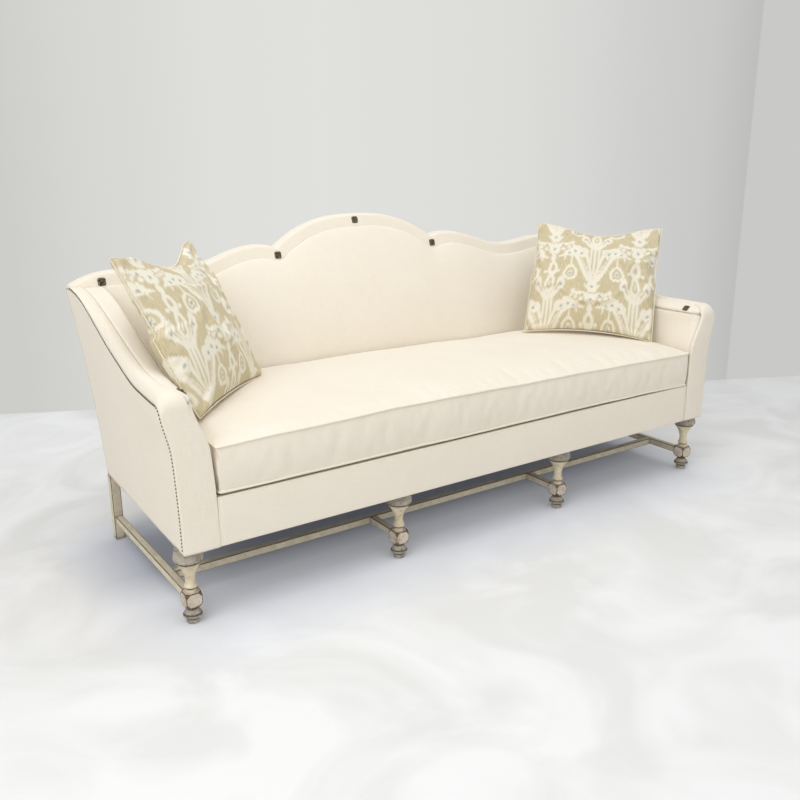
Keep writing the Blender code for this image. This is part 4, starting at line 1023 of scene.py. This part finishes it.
def ikat_figure(x, y):
    """One repeat, mirrored about its lane: fan, bud, branching stems, wings with hung drops, tulip, tip."""
    return (ikat_layer(x, y, WHITE_DROPS, WHITE_BARS, WHITE_DISCS), ikat_layer(x, y, HOLE_DROPS, HOLE_BARS),
            ikat_layer(x, y, INNER_DROPS), ikat_layer(x, y, discs=[(*dot, DOT_RADIUS) for dot in DOTS]))


def ikat_print(x, y, seed):
    """Half-drop repeat of mirrored figures: the largest inner distance over the three nearest lanes.

    Each point is first moved along the warp by a seeded amount for its thread, which feathers the ends.
    """
    random = np.random.default_rng(seed)
    threads = random.uniform(-1, 1, 460)
    column = (np.clip(x + 0.45, 0, 0.89) * THREADS_PER_METRE).astype(int)
    y = y + FEATHER * threads[column]
    nearest = np.round(x / LANE_WIDTH)
    parts = []
    for lane in (nearest - 1, nearest, nearest + 1):
        half_drop = 0.5 * LANE_PERIOD * np.mod(lane, 2)
        along = np.mod(y + LANE_START + half_drop + FIGURE_TAIL, LANE_PERIOD) - FIGURE_TAIL
        parts.append(ikat_figure(np.abs(x - lane * LANE_WIDTH), along))
    white, holes, inner, dots = (np.clip(0.5 + np.maximum.reduce(layer) / PRINT_EDGE, 0, 1)
                                 for layer in zip(*parts))
    return np.maximum(white * (1 - holes), inner), dots * white


def pillow_sheets(u, v, seed, sag, dip, arch, tall, slump):
    """Front and back of a knife-edged square pillow, whose gap is a power of (1-u^2)(1-v^2).

    Its sides are drawn in, and its top edge sags by a share of the height, most at one place along it.
    Each corner is a small bell-shaped knob, with folds that run out from it as a fading sine of the angle.
    """
    drawn_in = np.where(v > 0, 0.040, np.where(u < 0, -slump, 0.012)) * (1 - v * v)
    x = PILLOW_WIDTH / 2 * u * (1 - drawn_in)
    bent = np.where(u < dip, (u + 1) / (dip + 1), (1 - u) / (1 - dip))
    end_pull = np.where(v > 0, sag * ease(bent * 0.94 + 0.03) * v.clip(0) ** 1.5, arch * (1 - u * u))
    z = PILLOW_HEIGHT / 2 * (1 + tall * v * (1 - end_pull))
    near_u, near_v = 1 - np.abs(u), 1 - np.abs(v)
    nearest, away = np.minimum(near_u, near_v), np.hypot(near_u, near_v)
    knob = 0.008 * np.exp(-(away / 0.13) ** 2) * np.minimum(1, nearest / 0.03)
    fold = 0.0028 * np.sin(7.0 * np.arctan2(near_v, near_u) + 1.3 * seed) * np.exp(-away / 0.30)
    fold *= np.minimum(1, nearest / 0.08)
    plump = ((1 - u ** 2) * (1 - v ** 2)).clip(0) ** 0.51
    half = (PILLOW_EDGE + (PILLOW_THICKNESS - PILLOW_EDGE) * plump) / 2 + knob + fold
    return (np.stack([x, depth, z], -1).reshape(-1, 3) for depth in (-half, half))


def pillow(side, place, turn, lean, roll, seed, **form):
    """A pillow of two printed sheets, piped round its edge, leaning at its place by angles in degrees."""
    node, name, body = f"pillow_{side}", f"ikat_pillow_{side}", f"pillow_{side}_body"
    t = np.linspace(-1, 1, PILLOW_POINTS)
    u, v = np.meshgrid(t, t, indexing="ij")
    front, back = pillow_sheets(u, v, seed, **form)
    angles = [math.radians(angle) for angle in (-lean, roll, turn)]
    stood = np.array(Matrix.Translation(place) @ Euler(angles, "YXZ").to_matrix().to_4x4())

    def placed(points):
        """The pillow's own points, turned and moved to where it leans."""
        return points @ stood[:3, :3].T + stood[:3, 3]

    count = PILLOW_POINTS ** 2
    loop = border_loop(PILLOW_POINTS, PILLOW_POINTS)
    inner = np.setdiff1d(np.arange(count), loop)
    front[loop, 1] = 0
    lookup = np.arange(count)
    lookup[inner] = count + np.arange(len(inner))
    quads = grid_faces(PILLOW_POINTS, PILLOW_POINTS)
    faces = np.concatenate([quads, lookup[quads][:, ::-1]])
    flat = np.stack([u * PILLOW_WIDTH / 2, v * PILLOW_HEIGHT / 2], -1).reshape(-1, 2)
    piece = new_piece(name, placed(np.concatenate([front, back[inner]])), faces.tolist(), ikat, body,
                      np.concatenate([flat, flat[inner]]), [node])
    stuff(piece, loop, pressure=2.2, growth=0.035, cap=0.012, bending=0.25)
    soften_for_good(piece, 2)
    mesh = piece.data
    cloth = np.zeros(len(mesh.loops) * 2, np.float32)
    mesh.uv_layers["cloth"].data.foreach_get("uv", cloth)
    flat = np.zeros((len(mesh.vertices), 2))
    flat[corner_points(mesh)] = cloth.reshape(-1, 2)
    figure, dots = ikat_print(flat[:, 0], flat[:, 1] + 0.009 * (seed - 5), seed)
    write_marks(mesh, figure=figure, dots=dots)
    closed_cord(f"{name}_seam", placed(front[loop]), PIPING_RADIUS, piping, body)


# Legs and stretchers

LEG_PROFILE = np.array((  # radius and height in millimetres, from the seat down
    (35.5, 229.0), (37.5, 224.0), (39.0, 214.0), (41.5, 205.0), (42.8, 199.0), (42.0, 194.5), (38.0, 191.0),
    (36.0, 189.5), (36.4, 187.5), (34.5, 183.0), (28.5, 175.5), (22.5, 166.0), (18.0, 156.0), (15.2, 146.0),
    (13.8, 136.0), (13.6, 126.0), (15.5, 120.0), (18.4, 115.5), (19.0, 112.5), (18.0, 109.0), (15.0, 106.5),
    (14.5, 100.0), (14.5, 54.0), (15.5, 49.0), (16.2, 43.5), (19.5, 38.5), (24.5, 31.5), (27.6, 25.5),
    (27.2, 21.0), (23.0, 18.3), (18.6, 16.6), (18.4, 14.0), (19.0, 8.0), (18.2, 2.0), (16.8, 0.0)))
GROOVES = (  # height of each groove and how far its glaze spreads
    (0.1885, 0.0034), (0.1070, 0.0030), (0.0165, 0.0040), (0.0480, 0.0055), (0.0290, 0.0026))
SILVER_ABOVE = 0.1895
SILVER_BELOW = 0.053
BLOCK_SIDE = 0.048
BLOCK_HEIGHT = 0.043
BLOCK_Z = 0.0735
BLOCK_CUT = 0.0115
BLOCK_EDGE = 0.0013
BLOCK_BORDER = 0.0028
BLOCK_LEAST_FACE = 0.00006
BAR_ROUND = 0.0030
BAR_CHAMFER = 0.0012
BAR_WAVER = 0.0003
REAR_LEG_WIDTH = 0.031
STRETCHER_WIDTH = 0.025


def corner_cut(line, rounds):
    """Corner cutting: each corner gives way to two points, one on each of its lines, 22 percent along."""
    near = 0.22
    for _ in range(rounds):
        a, b = line[:-1], line[1:]
        pairs = np.stack([(1 - near) * a + near * b, near * a + (1 - near) * b], 1).reshape(-1, 2)
        line = np.concatenate([line[:1], pairs[1:-1], line[-1:]])
    return line


def turned_leg(number):
    """A turned front leg: the profile carried round its axis, with a corner-cut block where the rails meet.

    The glaze lies in the turned grooves by a bell curve of the height from each.
    """
    name = f"front_leg_{number}"
    low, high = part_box(name)
    centre = (low + high) / 2
    line = corner_cut(LEG_PROFILE / 1000, 2)[::-1]
    radius, height = line[:, :1], line[:, 1:]
    angle = np.linspace(0, 2 * np.pi, 56, endpoint=False)
    points = np.stack(np.broadcast_arrays(centre.x + radius * np.cos(angle),
                                          centre.y + radius * np.sin(angle), height), -1)
    piece = loft(f"turned_{name}", points, cream_paint, "frame", [name])
    mesh = piece.data
    mesh.materials.append(silver_paint)
    middle = np.zeros(len(mesh.polygons) * 3)
    mesh.polygons.foreach_get("center", middle)
    level = middle.reshape(-1, 3)[:, 2]
    silver = (level > SILVER_ABOVE) | (level < SILVER_BELOW)
    mesh.polygons.foreach_set("material_index", silver.astype(np.int32))
    bend = np.abs(np.gradient(np.gradient(line[:, 0]))) * 600
    glaze = sum(np.exp(-((line[:, 1] - z) / spread) ** 2) for z, spread in GROOVES)
    write_marks(mesh, rubbed=np.repeat(np.clip(bend, 0, 0.6), len(angle)),
                glazed=np.repeat(np.clip(glaze, 0, 1), len(angle)))
    sharpen(mesh, 50)
    leg_block(number, centre.x, centre.y)


def leg_block(number, x, y):
    """A cube with its corners cut off and its edges broken, worn and glazed round the border of each face."""
    block = bmesh.new()
    size = Vector((BLOCK_SIDE, BLOCK_SIDE, BLOCK_HEIGHT))
    bmesh.ops.create_cube(block, size=1.0, matrix=Matrix.LocRotScale(Vector((x, y, BLOCK_Z)), None, size))
    bmesh.ops.bevel(block, geom=block.verts[:], offset=BLOCK_CUT, segments=1, affect="VERTICES")
    bmesh.ops.bevel(block, geom=block.edges[:], offset=BLOCK_EDGE, segments=2, affect="EDGES", profile=0.6)
    faces = [face for face in block.faces if face.calc_area() > BLOCK_LEAST_FACE]
    bmesh.ops.inset_individual(block, faces=faces, thickness=BLOCK_BORDER)
    mesh = bpy.data.meshes.new(f"block_front_leg_{number}")
    block.verts.index_update()
    inside = {vert.index for face in faces for vert in face.verts}
    worn = np.array([vert.index not in inside for vert in block.verts], float)
    block.to_mesh(mesh)
    block.free()
    write_marks(mesh, rubbed=worn, glazed=0.72 * worn)
    mesh.materials.append(block_paint)
    mesh.shade_smooth()
    sharpen(mesh, 40)
    place_piece(f"leg_block_{number}", mesh, "frame")


def painted_bar(node, along, width, start=0.0, end=0.0):
    """A square bar of planed and rubbed wood: a rounded square carried along an axis of its node's box.

    Its faces waver by a third of a millimetre, and its corners are marked as worn.
    """
    low, high = (np.array(corner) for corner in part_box(node))
    across = [k for k in range(3) if k != along]
    middle = (low + high) / 2
    half = np.minimum([(high - low)[k] / 2 for k in across], width / 2)
    ring, worn = [], []
    quarter = np.linspace(0, np.pi / 2, 4)
    share = np.array([0.16, 0.5, 0.84])[:, None]
    signs = ((1, 1), (-1, 1), (-1, -1), (1, -1))
    for k, sign in enumerate(signs):
        turn = k * np.pi / 2 + quarter
        round_off = BAR_ROUND * np.stack([np.cos(turn), np.sin(turn)], 1)
        arc = (half - BAR_ROUND) * sign + round_off
        following = (half - BAR_ROUND) * signs[(k + 1) % 4] + round_off[-1]
        ring += [arc, arc[-1] * (1 - share) + following * share]
        worn += [0.35, 1.0, 1.0, 0.35, 0.0, 0.0, 0.0]
    ring, worn = np.concatenate(ring), np.array(worn)
    first, last = low[along] - start, high[along] + end
    count = max(10, int((last - first) / 0.02))
    station = np.concatenate([[first, first + BAR_CHAMFER], np.linspace(first, last, count)[1:-1],
                              [last - BAR_CHAMFER, last]])
    shrink = np.full(len(station), 1.0)
    shrink[[0, -1]] = 1 - BAR_CHAMFER / half.min()
    random = np.random.default_rng(len(node) * 7 + int(abs(middle[0]) * 100))
    phase = random.uniform(0, 6.28, len(ring))
    waver = BAR_WAVER * np.sin(station[:, None] * 40 + phase) * (worn < 0.2)
    placed = ring * shrink[:, None, None] + unit(ring) * waver[..., None]
    points = np.zeros((len(station), len(ring), 3))
    points[..., along] = station[:, None]
    points[..., across] = middle[across] + placed
    piece = loft(f"painted_{node}", points, bar_paint, "frame", [node])
    ends = np.zeros(len(station))
    ends[[0, 1, -2, -1]] = 0.5
    worn = np.tile(worn, len(station))
    write_marks(piece.data, rubbed=0.62 * worn, glazed=np.maximum(np.repeat(ends, len(ring)), 0.80 * worn))
    sharpen(piece.data, 50)


# Nail heads

ROSETTE_RADIUS = 0.0145
ROSETTE_HEIGHT = 0.009
ROSETTE_SHARES = np.array((  # share of the radius and of the height, from the rim to the top of the boss
    (1.0, 0), (1.0, 0.22), (0.96, 0.34), (0.86, 0.46), (0.74, 0.55), (0.62, 0.54), (0.50, 0.44), (0.42, 0.34),
    (0.38, 0.42), (0.34, 0.66), (0.26, 0.86), (0.15, 0.97), (0.05, 1.0)))
NAIL_SIDES = 9
ARM_NAILS = {"spacing": 0.0104, "radius": 0.0029, "height": 0.0020}
BACK_NAILS = {"spacing": 0.0115, "radius": 0.0036, "height": 0.0024}
NAIL_PROUD = 0.0004


def rosette(node):
    """A square rosette: radius and petals vary by 0.1 cos 4a round it, with a round boss in the middle."""
    low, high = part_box(node)
    centre = np.array((low + high) / 2)
    corners = np.zeros(len(frame["nodes"][node].data.vertices) * 3, np.float32)
    frame["nodes"][node].data.vertices.foreach_get("co", corners)
    corners = corners.reshape(-1, 3) - centre
    normal = np.linalg.eigh(corners.T @ corners)[1][:, 0]
    facing = np.array([0, -1, 0] if abs(normal[1]) > 0.5 else [-np.sign(centre[0]), 0, 0.2])
    normal = normal * np.sign(normal @ facing)
    upright = unit(np.array([0, 0, 1.0]) - normal * normal[2])
    aside = np.cross(upright, normal)
    angle = np.linspace(0, 2 * np.pi, 48, endpoint=False)[None]
    share, height = ROSETTE_SHARES[:, :1], ROSETTE_SHARES[:, 1:]
    wave = -0.10 * np.cos(4 * angle)
    radius = ROSETTE_RADIUS * share * (1 + wave * (share > 0.3))
    lift = ROSETTE_HEIGHT * (height + wave * ((share > 0.45) & (share < 0.95)) - 0.5)
    angle = angle[..., None]
    points = (centre + radius[..., None] * (np.cos(angle) * aside + np.sin(angle) * upright)
              + lift[..., None] * normal)
    loft(f"bronze_{node}", points, bronze, "frame", [node])


def nail_row(name, path, outward, spacing, radius, height):
    """Domed nail heads set one beside another along a path: a hemisphere of three rings on each spot."""
    steps = np.r_[0, np.cumsum(np.linalg.norm(np.diff(path, axis=0), axis=1))]
    count = int(steps[-1] / spacing)
    spots = np.linspace(steps[0], steps[-1], count)
    centre, out = (np.stack([np.interp(spots, steps, line[:, k]) for k in range(3)], 1)
                   for line in (path, outward))
    out = unit(out)
    first = unit(np.cross(np.where(np.abs(out[:, 2:]) < 0.9, [[0, 0, 1.0]], [[1.0, 0, 0]]), out))
    second = np.cross(out, first)
    angle = np.linspace(0, 2 * np.pi, NAIL_SIDES, endpoint=False)[None, :, None]
    share, lift = np.array([1.0, 0.9, 0.5]), np.array([-0.2, 0.45, 0.88])
    ring = (share[:, None, None] * radius * (np.cos(angle) * first[:, None, None]
                                             + np.sin(angle) * second[:, None, None])
            + (lift * height)[:, None, None] * out[:, None, None])
    points = centre[:, None] + np.concatenate([ring.reshape(count, -1, 3), out[:, None] * height], 1)
    each = points.shape[1]
    around = np.arange(NAIL_SIDES)
    last_ring = 2 * NAIL_SIDES
    tip = np.stack([last_ring + around, last_ring + (around + 1) % NAIL_SIDES,
                    np.full(NAIL_SIDES, each - 1)], 1)
    start = (np.arange(count) * each)[:, None, None]
    faces = [row for pattern in (grid_faces(3, NAIL_SIDES, wrap=True), tip, around[None, ::-1])
             for row in (pattern[None] + start).reshape(-1, pattern.shape[1]).tolist()]
    new_piece(name, points, faces, bronze, "frame", None)


def arm_nails(side, word):
    """Nails along the seam between an arm's outer panel and its strip, from the foot up to the back corner.

    Towards the back corner the line climbs from the strip's lower edge to its top, as the panel does.
    """
    climb_start, climb_run, top_depth = 0.12, 0.16, 0.0030
    path = strip_path()
    climb = smooth_step((path[:, :1] - climb_start) / climb_run)
    depth = (STRIP_THICKNESS + SHELL_GAP) * (1 - climb) + top_depth * climb
    under = path + path_inward(path) * depth
    keep = under[:, 1] > LEG_HEIGHT + 0.008
    line = cover_point(side, ARM_WIDTH + 0.0002, under[keep, 0], under[keep, 1])
    out = np.broadcast_to(np.array([side, 0, 0.05]), line.shape)
    nail_row(f"arm_nails_{word}", line, out, **ARM_NAILS)


def back_nails():
    """Nails along the rear seam, just under the fold of the band and down both rear corners."""
    x = crest_places()
    z = crest(x) - BAND_FOLD - 0.001
    lines = [("crest", x / CORNER_X, HALF_LENGTH - 0.010, z)]
    z = np.linspace(LEG_HEIGHT + 0.010, CORNER_Z - 0.035, 60)
    lines += [(word, side, HALF_LENGTH - COVER_THICKNESS - SHELL_GAP / 2, z)
              for side, word in ((-1, "left"), (1, "right"))]
    for word, share, reach, z in lines:
        y = rear_face(z)
        line = np.stack([share * (reach + sweep(z) - taper(y)), y + NAIL_PROUD, z], 1)
        out = np.broadcast_to(np.array([0, 1, -0.2]), line.shape)
        nail_row(f"back_nails_{word}", line, out, **BACK_NAILS)


# The studio

LAMPS = (  # name, place, size, power and colour
    ("key", (-3.0, -1.6, 3.0), 2.6, 55.5, "#FFFFFF"),
    ("front", (-0.6, -3.2, 3.6), 3.0, 18.0, "#FFFFFF"),
    ("top", (0.2, -0.4, 3.4), 3.0, 33.0, "#FBFDFF"),
)
LAMP_AIM = Vector((0, 0, 0.45))
SKY = 0.67
# The wall's greys are painted light and shade: it glows brighter in its middle, with the painted shade of a
# soft fold near its right end
WALL_PAINTED_SHADES = (  # share of the wall's run, from left to right, and the grey there
    (0.027, "#CDCDC9"), (0.081, "#D5D5D1"), (0.213, "#DFDFDC"), (0.316, "#E1E1DE"),
    (0.462, "#DEDEDB"), (0.575, "#DCDCD9"), (0.679, "#D6D6D4"), (0.777, "#CFCFCD"),
    (0.895, "#CACAC8"), (1.022, "#BEBEBC"), (1.102, "#C9C9C7"))
WALL_FROM, WALL_TO = 0.15, 1.45
WALL_SLOPE = 0.483
WALL_START, WALL_FULL = 1.50, 1.53
VIEW_X, VIEW_Y = -1.80, -2.54
FLOOR_RINGS = (1.5, 3.0, 5.0, 9.0, 30.0)
FLOOR_DROP = 0.0005
# Strength of the painted glow: light given off by the floor itself in the sofa's shade and far to its left
FLOOR_GLOW = 0.085
# Masks for painted shade and painted light on the floor: a cool painted shade under the sofa, darker deep
# under it, and a painted glow in its shade in front and far to its left
FLOOR_FADES = (  # name, what it runs along, where it starts, where it is full and its least value
    ("ends", "aside", 1.30, 0.95, 0.0), ("front", "Y", -0.75, -0.25, 0.0), ("rear", "Y", 0.45, 0.20, 0.0),
    ("inner", "Y", -0.24, -0.04, 0.0), ("outer", "Y", -0.04, -0.24, 0.0), ("near_end", "X", 1.0, 0.2, 0.3),
    ("far_left", "X", -0.3, -0.9, 0.0), ("behind", "Y", 0.5, 1.4, 0.0))
FLOOR_SUMS = (  # name, the two values that make it and how
    ("band", "ends", "front", "MULTIPLY"), ("painted_cool_shade", "band", "rear", "MULTIPLY"),
    ("deep", "painted_cool_shade", "inner", "MULTIPLY"), ("open", "outer", "near_end", "MULTIPLY"),
    ("shade", "band", "open", "MULTIPLY"), ("left", "far_left", "behind", "MULTIPLY"),
    ("glow", "shade", "left", "ADD"))


def wall_shade(tree, slant):
    """The wall's grey of painted light and shade, from left to right: brighter in its middle, the painted
    shade of a soft fold near its right end.
    """
    run = add_node(tree, "ShaderNodeMapRange", {"From Min": WALL_FROM, "From Max": WALL_TO}, {"Value": slant})
    return add_node(tree, "ShaderNodeValToRGB", links={0: run.outputs[0]}, stops=WALL_PAINTED_SHADES)


def floor_values(tree, split):
    """Values from 0 to 1 over the floor, by name: ramps along X and Y, then their products and a sum."""
    values = {axis: split.outputs[axis] for axis in ("X", "Y")}
    values["aside"] = add_node(tree, "ShaderNodeMath", links={0: values["X"]},
                               operation="ABSOLUTE").outputs[0]
    for name, along, start, full, least in FLOOR_FADES:
        limits = {"From Min": start, "From Max": full, "To Min": least}
        values[name] = add_node(tree, "ShaderNodeMapRange", limits, {"Value": values[along]}).outputs[0]
    for name, one, other, how in FLOOR_SUMS:
        values[name] = add_node(tree, "ShaderNodeMath", links={0: values[one], 1: values[other]},
                                operation=how).outputs[0]
    return values


def floor_cloth(tree, shader, place, split):
    """Pale canvas with soft creases half a metre wide; painted shade under the sofa, cooler there and darker
    deep under it, and a painted glow of light in its shade in front of it and far to its left behind it.
    """
    creases = add_node(tree, "ShaderNodeTexNoise", {"Scale": 2.2, "Detail": 3.0, "Distortion": 1.2},
                       {"Vector": place.outputs["Object"]})
    colour = add_node(tree, "ShaderNodeValToRGB", links={0: creases.outputs[0]},
                      stops=((0.40, "#E2E1DE"), (0.62, "#EDECEA"))).outputs[0]
    turned = add_node(tree, "ShaderNodeMapping", {"Scale": (3.0, 26.0, 1.0), "Rotation": (0, 0, 0.42)},
                      {"Vector": place.outputs["Object"]})
    streaks = add_node(tree, "ShaderNodeTexNoise", {"Scale": 1.0, "Detail": 3.0},
                       {"Vector": turned.outputs[0]})
    height = add_node(tree, "ShaderNodeMix", {0: 0.30}, {2: creases.outputs[0], 3: streaks.outputs[0]},
                      data_type="FLOAT")
    values = floor_values(tree, split)
    # Painted shade: the floor's colour is cooler under the sofa and darker deep under it
    for name, tone in (("painted_cool_shade", "#E4E8F1"), ("deep", "#B9BCC6")):
        colour = add_node(tree, "ShaderNodeMix", {7: linear(tone)}, {0: values[name], 6: colour},
                          data_type="RGBA").outputs[2]
    dress(tree, shader, colour, height.outputs[0], 0.32, 0.012)
    # Painted light: the floor glows in the sofa's shade in front of it and far to its left behind it
    glow = add_node(tree, "ShaderNodeMath", {1: FLOOR_GLOW}, {0: values["glow"]}, operation="MULTIPLY")
    shader.inputs["Emission Color"].default_value = linear("#F6F8FC")
    tree.links.new(glow.outputs[0], shader.inputs["Emission Strength"])


def studio_floor():
    """A pale cloth floor, and beyond a slanting line the same cloth glowing as a grey wall in painted light
    and shade.

    It is a disc of rings, and the wall's grey goes by the direction in which the camera sees it.
    """
    mesh = bpy.data.meshes.new("floor")
    radius = np.array(FLOOR_RINGS)[:, None]
    angle = np.linspace(0, 2 * np.pi, 64, endpoint=False)[None]
    rings = np.stack(np.broadcast_arrays(radius * np.cos(angle), radius * np.sin(angle), -FLOOR_DROP), -1)
    faces = grid_faces(*rings.shape[:2], wrap=True).tolist() + [list(range(64))]
    mesh.from_pydata(rings.reshape(-1, 3), [], faces)
    floor = bpy.data.objects.new("floor", mesh)
    bpy.context.scene.collection.objects.link(floor)
    material, tree, shader = start_material("studio_canvas", Roughness=0.9, Specular_IOR_Level=0.1)
    place = add_node(tree, "ShaderNodeTexCoord")
    split = add_node(tree, "ShaderNodeSeparateXYZ", links={0: place.outputs["Object"]})
    lean = add_node(tree, "ShaderNodeMath", {1: WALL_SLOPE}, {0: split.outputs["X"]}, operation="MULTIPLY")
    far = add_node(tree, "ShaderNodeMath", links={0: lean.outputs[0], 1: split.outputs["Y"]}, operation="ADD")
    wall = add_node(tree, "ShaderNodeMapRange", {"From Min": WALL_START, "From Max": WALL_FULL},
                    {"Value": far.outputs[0]})
    away = [add_node(tree, "ShaderNodeMath", {1: -spot}, {0: split.outputs[axis]}, operation="ADD").outputs[0]
            for axis, spot in (("X", VIEW_X), ("Y", VIEW_Y))]
    slant = add_node(tree, "ShaderNodeMath", links={0: away[0], 1: away[1]}, operation="DIVIDE")
    shade = wall_shade(tree, slant.outputs[0])
    # The wall glows with its painted light and shade, though it is no lamp
    glow = add_node(tree, "ShaderNodeEmission", links={"Color": shade.outputs[0]})
    floor_cloth(tree, shader, place, split)
    both = add_node(tree, "ShaderNodeMixShader", links={0: wall.outputs[0], 1: shader.outputs[0],
                                                        2: glow.outputs[0]})
    output = next(node for node in tree.nodes if node.type == "OUTPUT_MATERIAL")
    tree.links.new(both.outputs[0], output.inputs["Surface"])
    mesh.materials.append(material)


def studio_sky():
    """A soft sky that lights the sofa, seen by the camera as the wall's grey of painted light and shade."""
    world = bpy.data.worlds.new("studio")
    bpy.context.scene.world = world
    world.use_nodes = True
    tree = world.node_tree
    tree.nodes.clear()
    ray = add_node(tree, "ShaderNodeLightPath")
    place = add_node(tree, "ShaderNodeTexCoord")
    split = add_node(tree, "ShaderNodeSeparateXYZ", links={0: place.outputs["Generated"]})
    slant = add_node(tree, "ShaderNodeMath", links={0: split.outputs["X"], 1: split.outputs["Y"]},
                     operation="DIVIDE")
    shade = wall_shade(tree, slant.outputs[0])
    seen = add_node(tree, "ShaderNodeBackground", links={"Color": shade.outputs[0]})
    sky = add_node(tree, "ShaderNodeBackground", {"Color": linear("#F4F6F9"), "Strength": SKY})
    either = add_node(tree, "ShaderNodeMixShader", links={0: ray.outputs["Is Camera Ray"], 1: sky.outputs[0],
                                                          2: seen.outputs[0]})
    add_node(tree, "ShaderNodeOutputWorld", links={"Surface": either.outputs[0]})


def studio_lamps():
    """Large soft lamps that face the middle of the sofa."""
    for name, spot, size, power, tone in LAMPS:
        lamp = bpy.data.objects.new(name, bpy.data.lights.new(name, "AREA"))
        lamp.data.size = size
        lamp.data.energy = power
        lamp.data.color = linear(tone)[:3]
        lamp.location = spot
        lamp.rotation_euler = (LAMP_AIM - Vector(spot)).to_track_quat("-Z", "Y").to_euler()
        bpy.context.scene.collection.objects.link(lamp)


# The sofa

bpy.context.scene.view_settings.view_transform = "Standard"
place_camera()
studio_floor()
studio_sky()
studio_lamps()
border_band()
back_cushioning()
outside_back()
for arm_side, arm_word in ((-1, "left"), (1, "right")):
    arm_strip(arm_side, arm_word)
    outside_arm(arm_side, arm_word)
    arm_band(arm_side, arm_word)
    arm_cushioning(arm_side, arm_word)
    arm_nails(arm_side, arm_word)
back_nails()
front_border()
seat_cushion()
pillow("left", (-0.761, LEG_Y + 0.292, 0.5382), turn=44.6, lean=27.5, roll=0.6,
       seed=5, sag=0.27, dip=0.26, arch=0.05, tall=0.975, slump=0.050)
pillow("right", (0.743, LEG_Y + 0.268, 0.5275), turn=-48.0, lean=31.0, roll=2.4,
       seed=11, sag=0.20, dip=0.05, arch=0.10, tall=0.945, slump=-0.012)
for leg_number in (1, 2, 3, 4):
    turned_leg(leg_number)
    painted_bar(f"rear_leg_{leg_number}", 2, REAR_LEG_WIDTH)
for stretcher, end_gaps in (("side", (0.0062, 0.0037)), ("short", (0.0062,))):
    for end_word in ("left", "right"):
        painted_bar(f"{stretcher}_stretcher_{end_word}", 1, STRETCHER_WIDTH, *end_gaps)
painted_bar("medial_stretcher", 0, STRETCHER_WIDTH)
for node_name in frame["nodes"]:
    if node_name.startswith("rosette"):
        rosette(node_name)

finishes = {"frame_wood": timber, "deck_fabric": felt, "dust_fabric": dust_cloth, "spring_steel": wire}
for part in frame["record"]["subparts"]:
    if part["material_slot"] in finishes:
        cad_mesh = frame["nodes"][part["node"]].data
        cad_mesh.materials.clear()
        cad_mesh.materials.append(finishes[part["material_slot"]])
